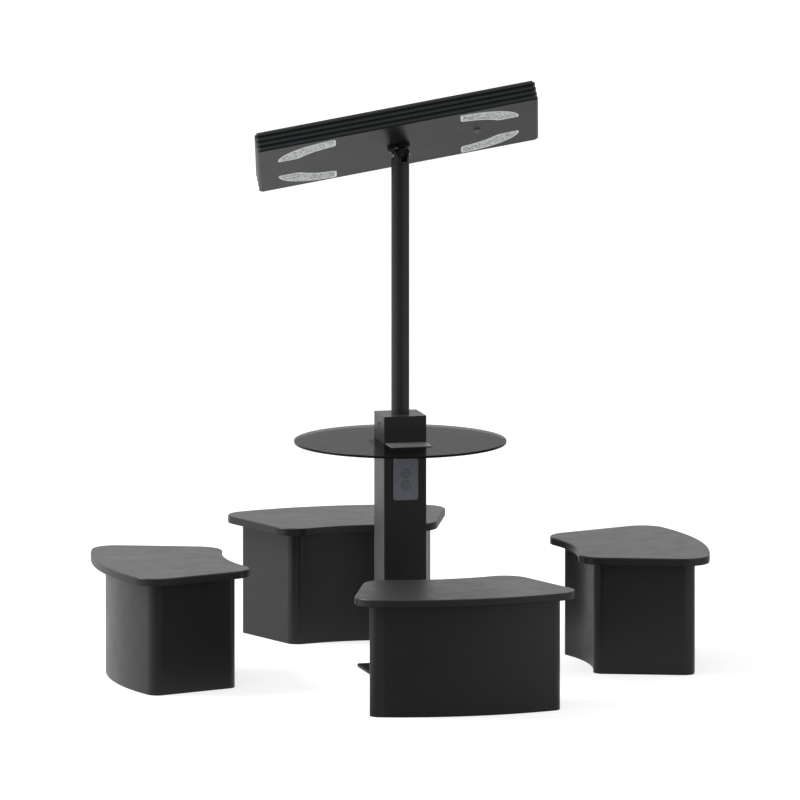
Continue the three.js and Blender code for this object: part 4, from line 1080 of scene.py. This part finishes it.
# Welds
def weld(name, outline, z, radius):
    """A rippled bead along a closed outline."""
    points = [Vector((x, y, z)) for x, y in outline]
    lengths = [(points[(i + 1) % len(points)] - p).length for i, p in enumerate(points)]
    total = sum(lengths)
    count = int(total / WELD["pitch"]) * WELD["rings"]
    turns = [2 * math.pi * k / WELD["sides"] for k in range(WELD["sides"])]
    up = Vector((0, 0, 1))
    rings, at, run = [], 0, 0.0
    for i in range(count):
        travel = total * i / count
        while travel > run + lengths[at]:
            run += lengths[at]
            at += 1
        a, b = points[at], points[(at + 1) % len(points)]
        here = a.lerp(b, (travel - run) / lengths[at])
        out = (b - a).normalized().cross(up)
        swell = radius + WELD["ripple"] * math.sin(2 * math.pi * i / WELD["rings"])
        rings.append([here + (out * math.cos(t) + up * math.sin(t)) * swell for t in turns])
    bead = loft(rings[::-1], wrap=True)
    show(name, bead, "charcoal_paint", "root", angle=WELD_ANGLE, weigh=False)


def welds():
    column_low, column_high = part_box("pedestal_column")
    side = column_high.x - column_low.x
    foot = rounded_rectangle(side, side, COLUMN_CORNER, CORNER_STEPS // 2)
    weld("foot_weld", foot, column_low.z, WELD["radius"])
    weld("table_weld", foot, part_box("table_support_frame")[0].z, WELD["radius"] * TABLE_WELD_SHARE)


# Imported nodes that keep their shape
DRESSED = {
    "charcoal_paint": ["pedestal_column", "service_door", "mast_fork", "table_support_frame"],
    # The base plate takes the darker finish, so that it renders darker than the column above it.
    "dark_paint": ["base_plate", "battery_shelf", "mast_seat"] + [f"stool_floor_plate_{s}" for s in SEATS],
    "cast_black": ["head_flange"],
    "zinc_steel": ["door_hinge_pin", "cover_pin", "door_lock"],
    "clamp_steel": ["table_clamp_front", "table_clamp_rear"],
    "cover_plastic": ["socket_cover"],
    "socket_plastic": ["socket_upper", "socket_lower"],
    "grey_plastic": ["charge_controller", "led_driver", "socket_power_module"],
    "battery_case": ["battery_pack"],
    "rubber_seal": ["table_gasket", "mast_cable"],
    "led_board": [f"led_board_{name}" for name in LENSES],
}


# Surroundings
def studio_level(f, direction):
    """How bright the studio is that way: dark on the camera's side and brightest on the left."""
    shares = []
    for end in (STUDIO_FRONT, STUDIO_LEFT, STUDIO_RIGHT):
        dot = f.add("ShaderNodeVectorMath", {0: direction, 1: end["way"]}, operation="DOT_PRODUCT")
        shares.append(f.between(dot.outputs["Value"], end["elsewhere"], end["share"], end["start"], 1.0))
    return f.calc("MULTIPLY", f.calc("MULTIPLY", shares[0], shares[1]), shares[2])


def floor():
    """A pale floor that keeps the object's shadow and is seen through from below."""
    corners = rectangle(-FLOOR_REACH, -FLOOR_REACH, FLOOR_REACH, FLOOR_REACH)
    mesh = bpy.data.meshes.new("floor")
    mesh.from_pydata(level(corners, FLOOR_LEVEL), [], [(0, 1, 2, 3)])
    f = Finish("floor")
    matt = f.add("ShaderNodeBsdfDiffuse", {"Color": grey(FLOOR_GREY)})
    lit = f.add("ShaderNodeEmission", {"Color": grey(1.0), "Strength": FLOOR_LIGHT})
    seen = f.add("ShaderNodeAddShader", {0: matt.outputs[0], 1: lit.outputs[0]})
    facing = f.add("ShaderNodeLayerWeight", {"Blend": 0.5}).outputs["Facing"]
    outward = f.add("ShaderNodeVectorMath", {0: f.place()}, operation="NORMALIZE").outputs["Vector"]
    strength = f.calc("MULTIPLY", f.between(facing, *FLOOR_SHINE, *FLOOR_FACING), studio_level(f, outward))
    shine = f.add("ShaderNodeEmission", {"Color": grey(1.0), "Strength": strength})
    path = f.add("ShaderNodeLightPath")
    mirrored = f.mix(path.outputs["Is Glossy Ray"], matt, shine)
    direct = f.calc("MAXIMUM", path.outputs["Is Camera Ray"], path.outputs["Is Transmission Ray"])
    upper = f.mix(direct, mirrored, seen)
    clear = f.add("ShaderNodeBsdfTransparent", {"Color": grey(1.0)})
    f.surface(f.mix(f.surface_facts("Backfacing"), upper, clear))
    mesh.materials.append(f.material)
    placed("floor", mesh)


def world():
    sky = bpy.data.worlds.new("studio")
    bpy.context.scene.world = sky
    sky.use_nodes = True
    f = Nodes(sky.node_tree, "ShaderNodeOutputWorld")
    direction = f.add("ShaderNodeTexCoord").outputs["Generated"]
    studio = f.add("ShaderNodeBackground", {"Color": grey(1.0), "Strength": studio_level(f, direction)})
    white = f.add("ShaderNodeBackground", {"Color": grey(1.0), "Strength": 1.0})
    f.surface(f.mix(f.add("ShaderNodeLightPath").outputs["Is Camera Ray"], studio, white))


def aim(name, data, place, direction):
    """Puts a lamp or a camera at a place, looking that way."""
    obj = placed(name, data)
    obj.location = place
    obj.rotation_mode = "QUATERNION"
    obj.rotation_quaternion = direction.to_track_quat("-Z", "Y")
    return obj


def key_light():
    light = bpy.data.lights.new("key", "AREA")
    light.shape = "DISK"
    light.size = KEY_SIZE
    light.energy = KEY_WATTS
    aim("key", light, KEY_PLACE, Vector(KEY_TARGET) - Vector(KEY_PLACE))


def camera():
    data = bpy.data.cameras.new("camera")
    data.sensor_width = SENSOR_MM
    data.lens = SENSOR_MM * VIEW_DISTANCE / FRAME_WIDTH
    data.clip_end = CLIP_END
    back = Vector((
        math.sin(VIEW_AZIMUTH) * math.cos(VIEW_ELEVATION),
        -math.cos(VIEW_AZIMUTH) * math.cos(VIEW_ELEVATION),
        math.sin(VIEW_ELEVATION),
    ))
    bpy.context.scene.camera = aim("camera", data, VIEW_TARGET + back * VIEW_DISTANCE, -back)


stools()
mast()
pedestal_cap()
glass_table()
head_housing()
lenses()
sensor()
solar_panel()
anchor_screws()
flange_bolts()
tilt_bolt()
cap_screw()
charging_ports()
welds()
for slot_name, names in DRESSED.items():
    for node_name in names:
        dress(node_name, finishes[slot_name])
dress("socket_frame", frame_finish)
floor()
world()
key_light()
camera()
bpy.context.scene.view_settings.view_transform = "Standard"
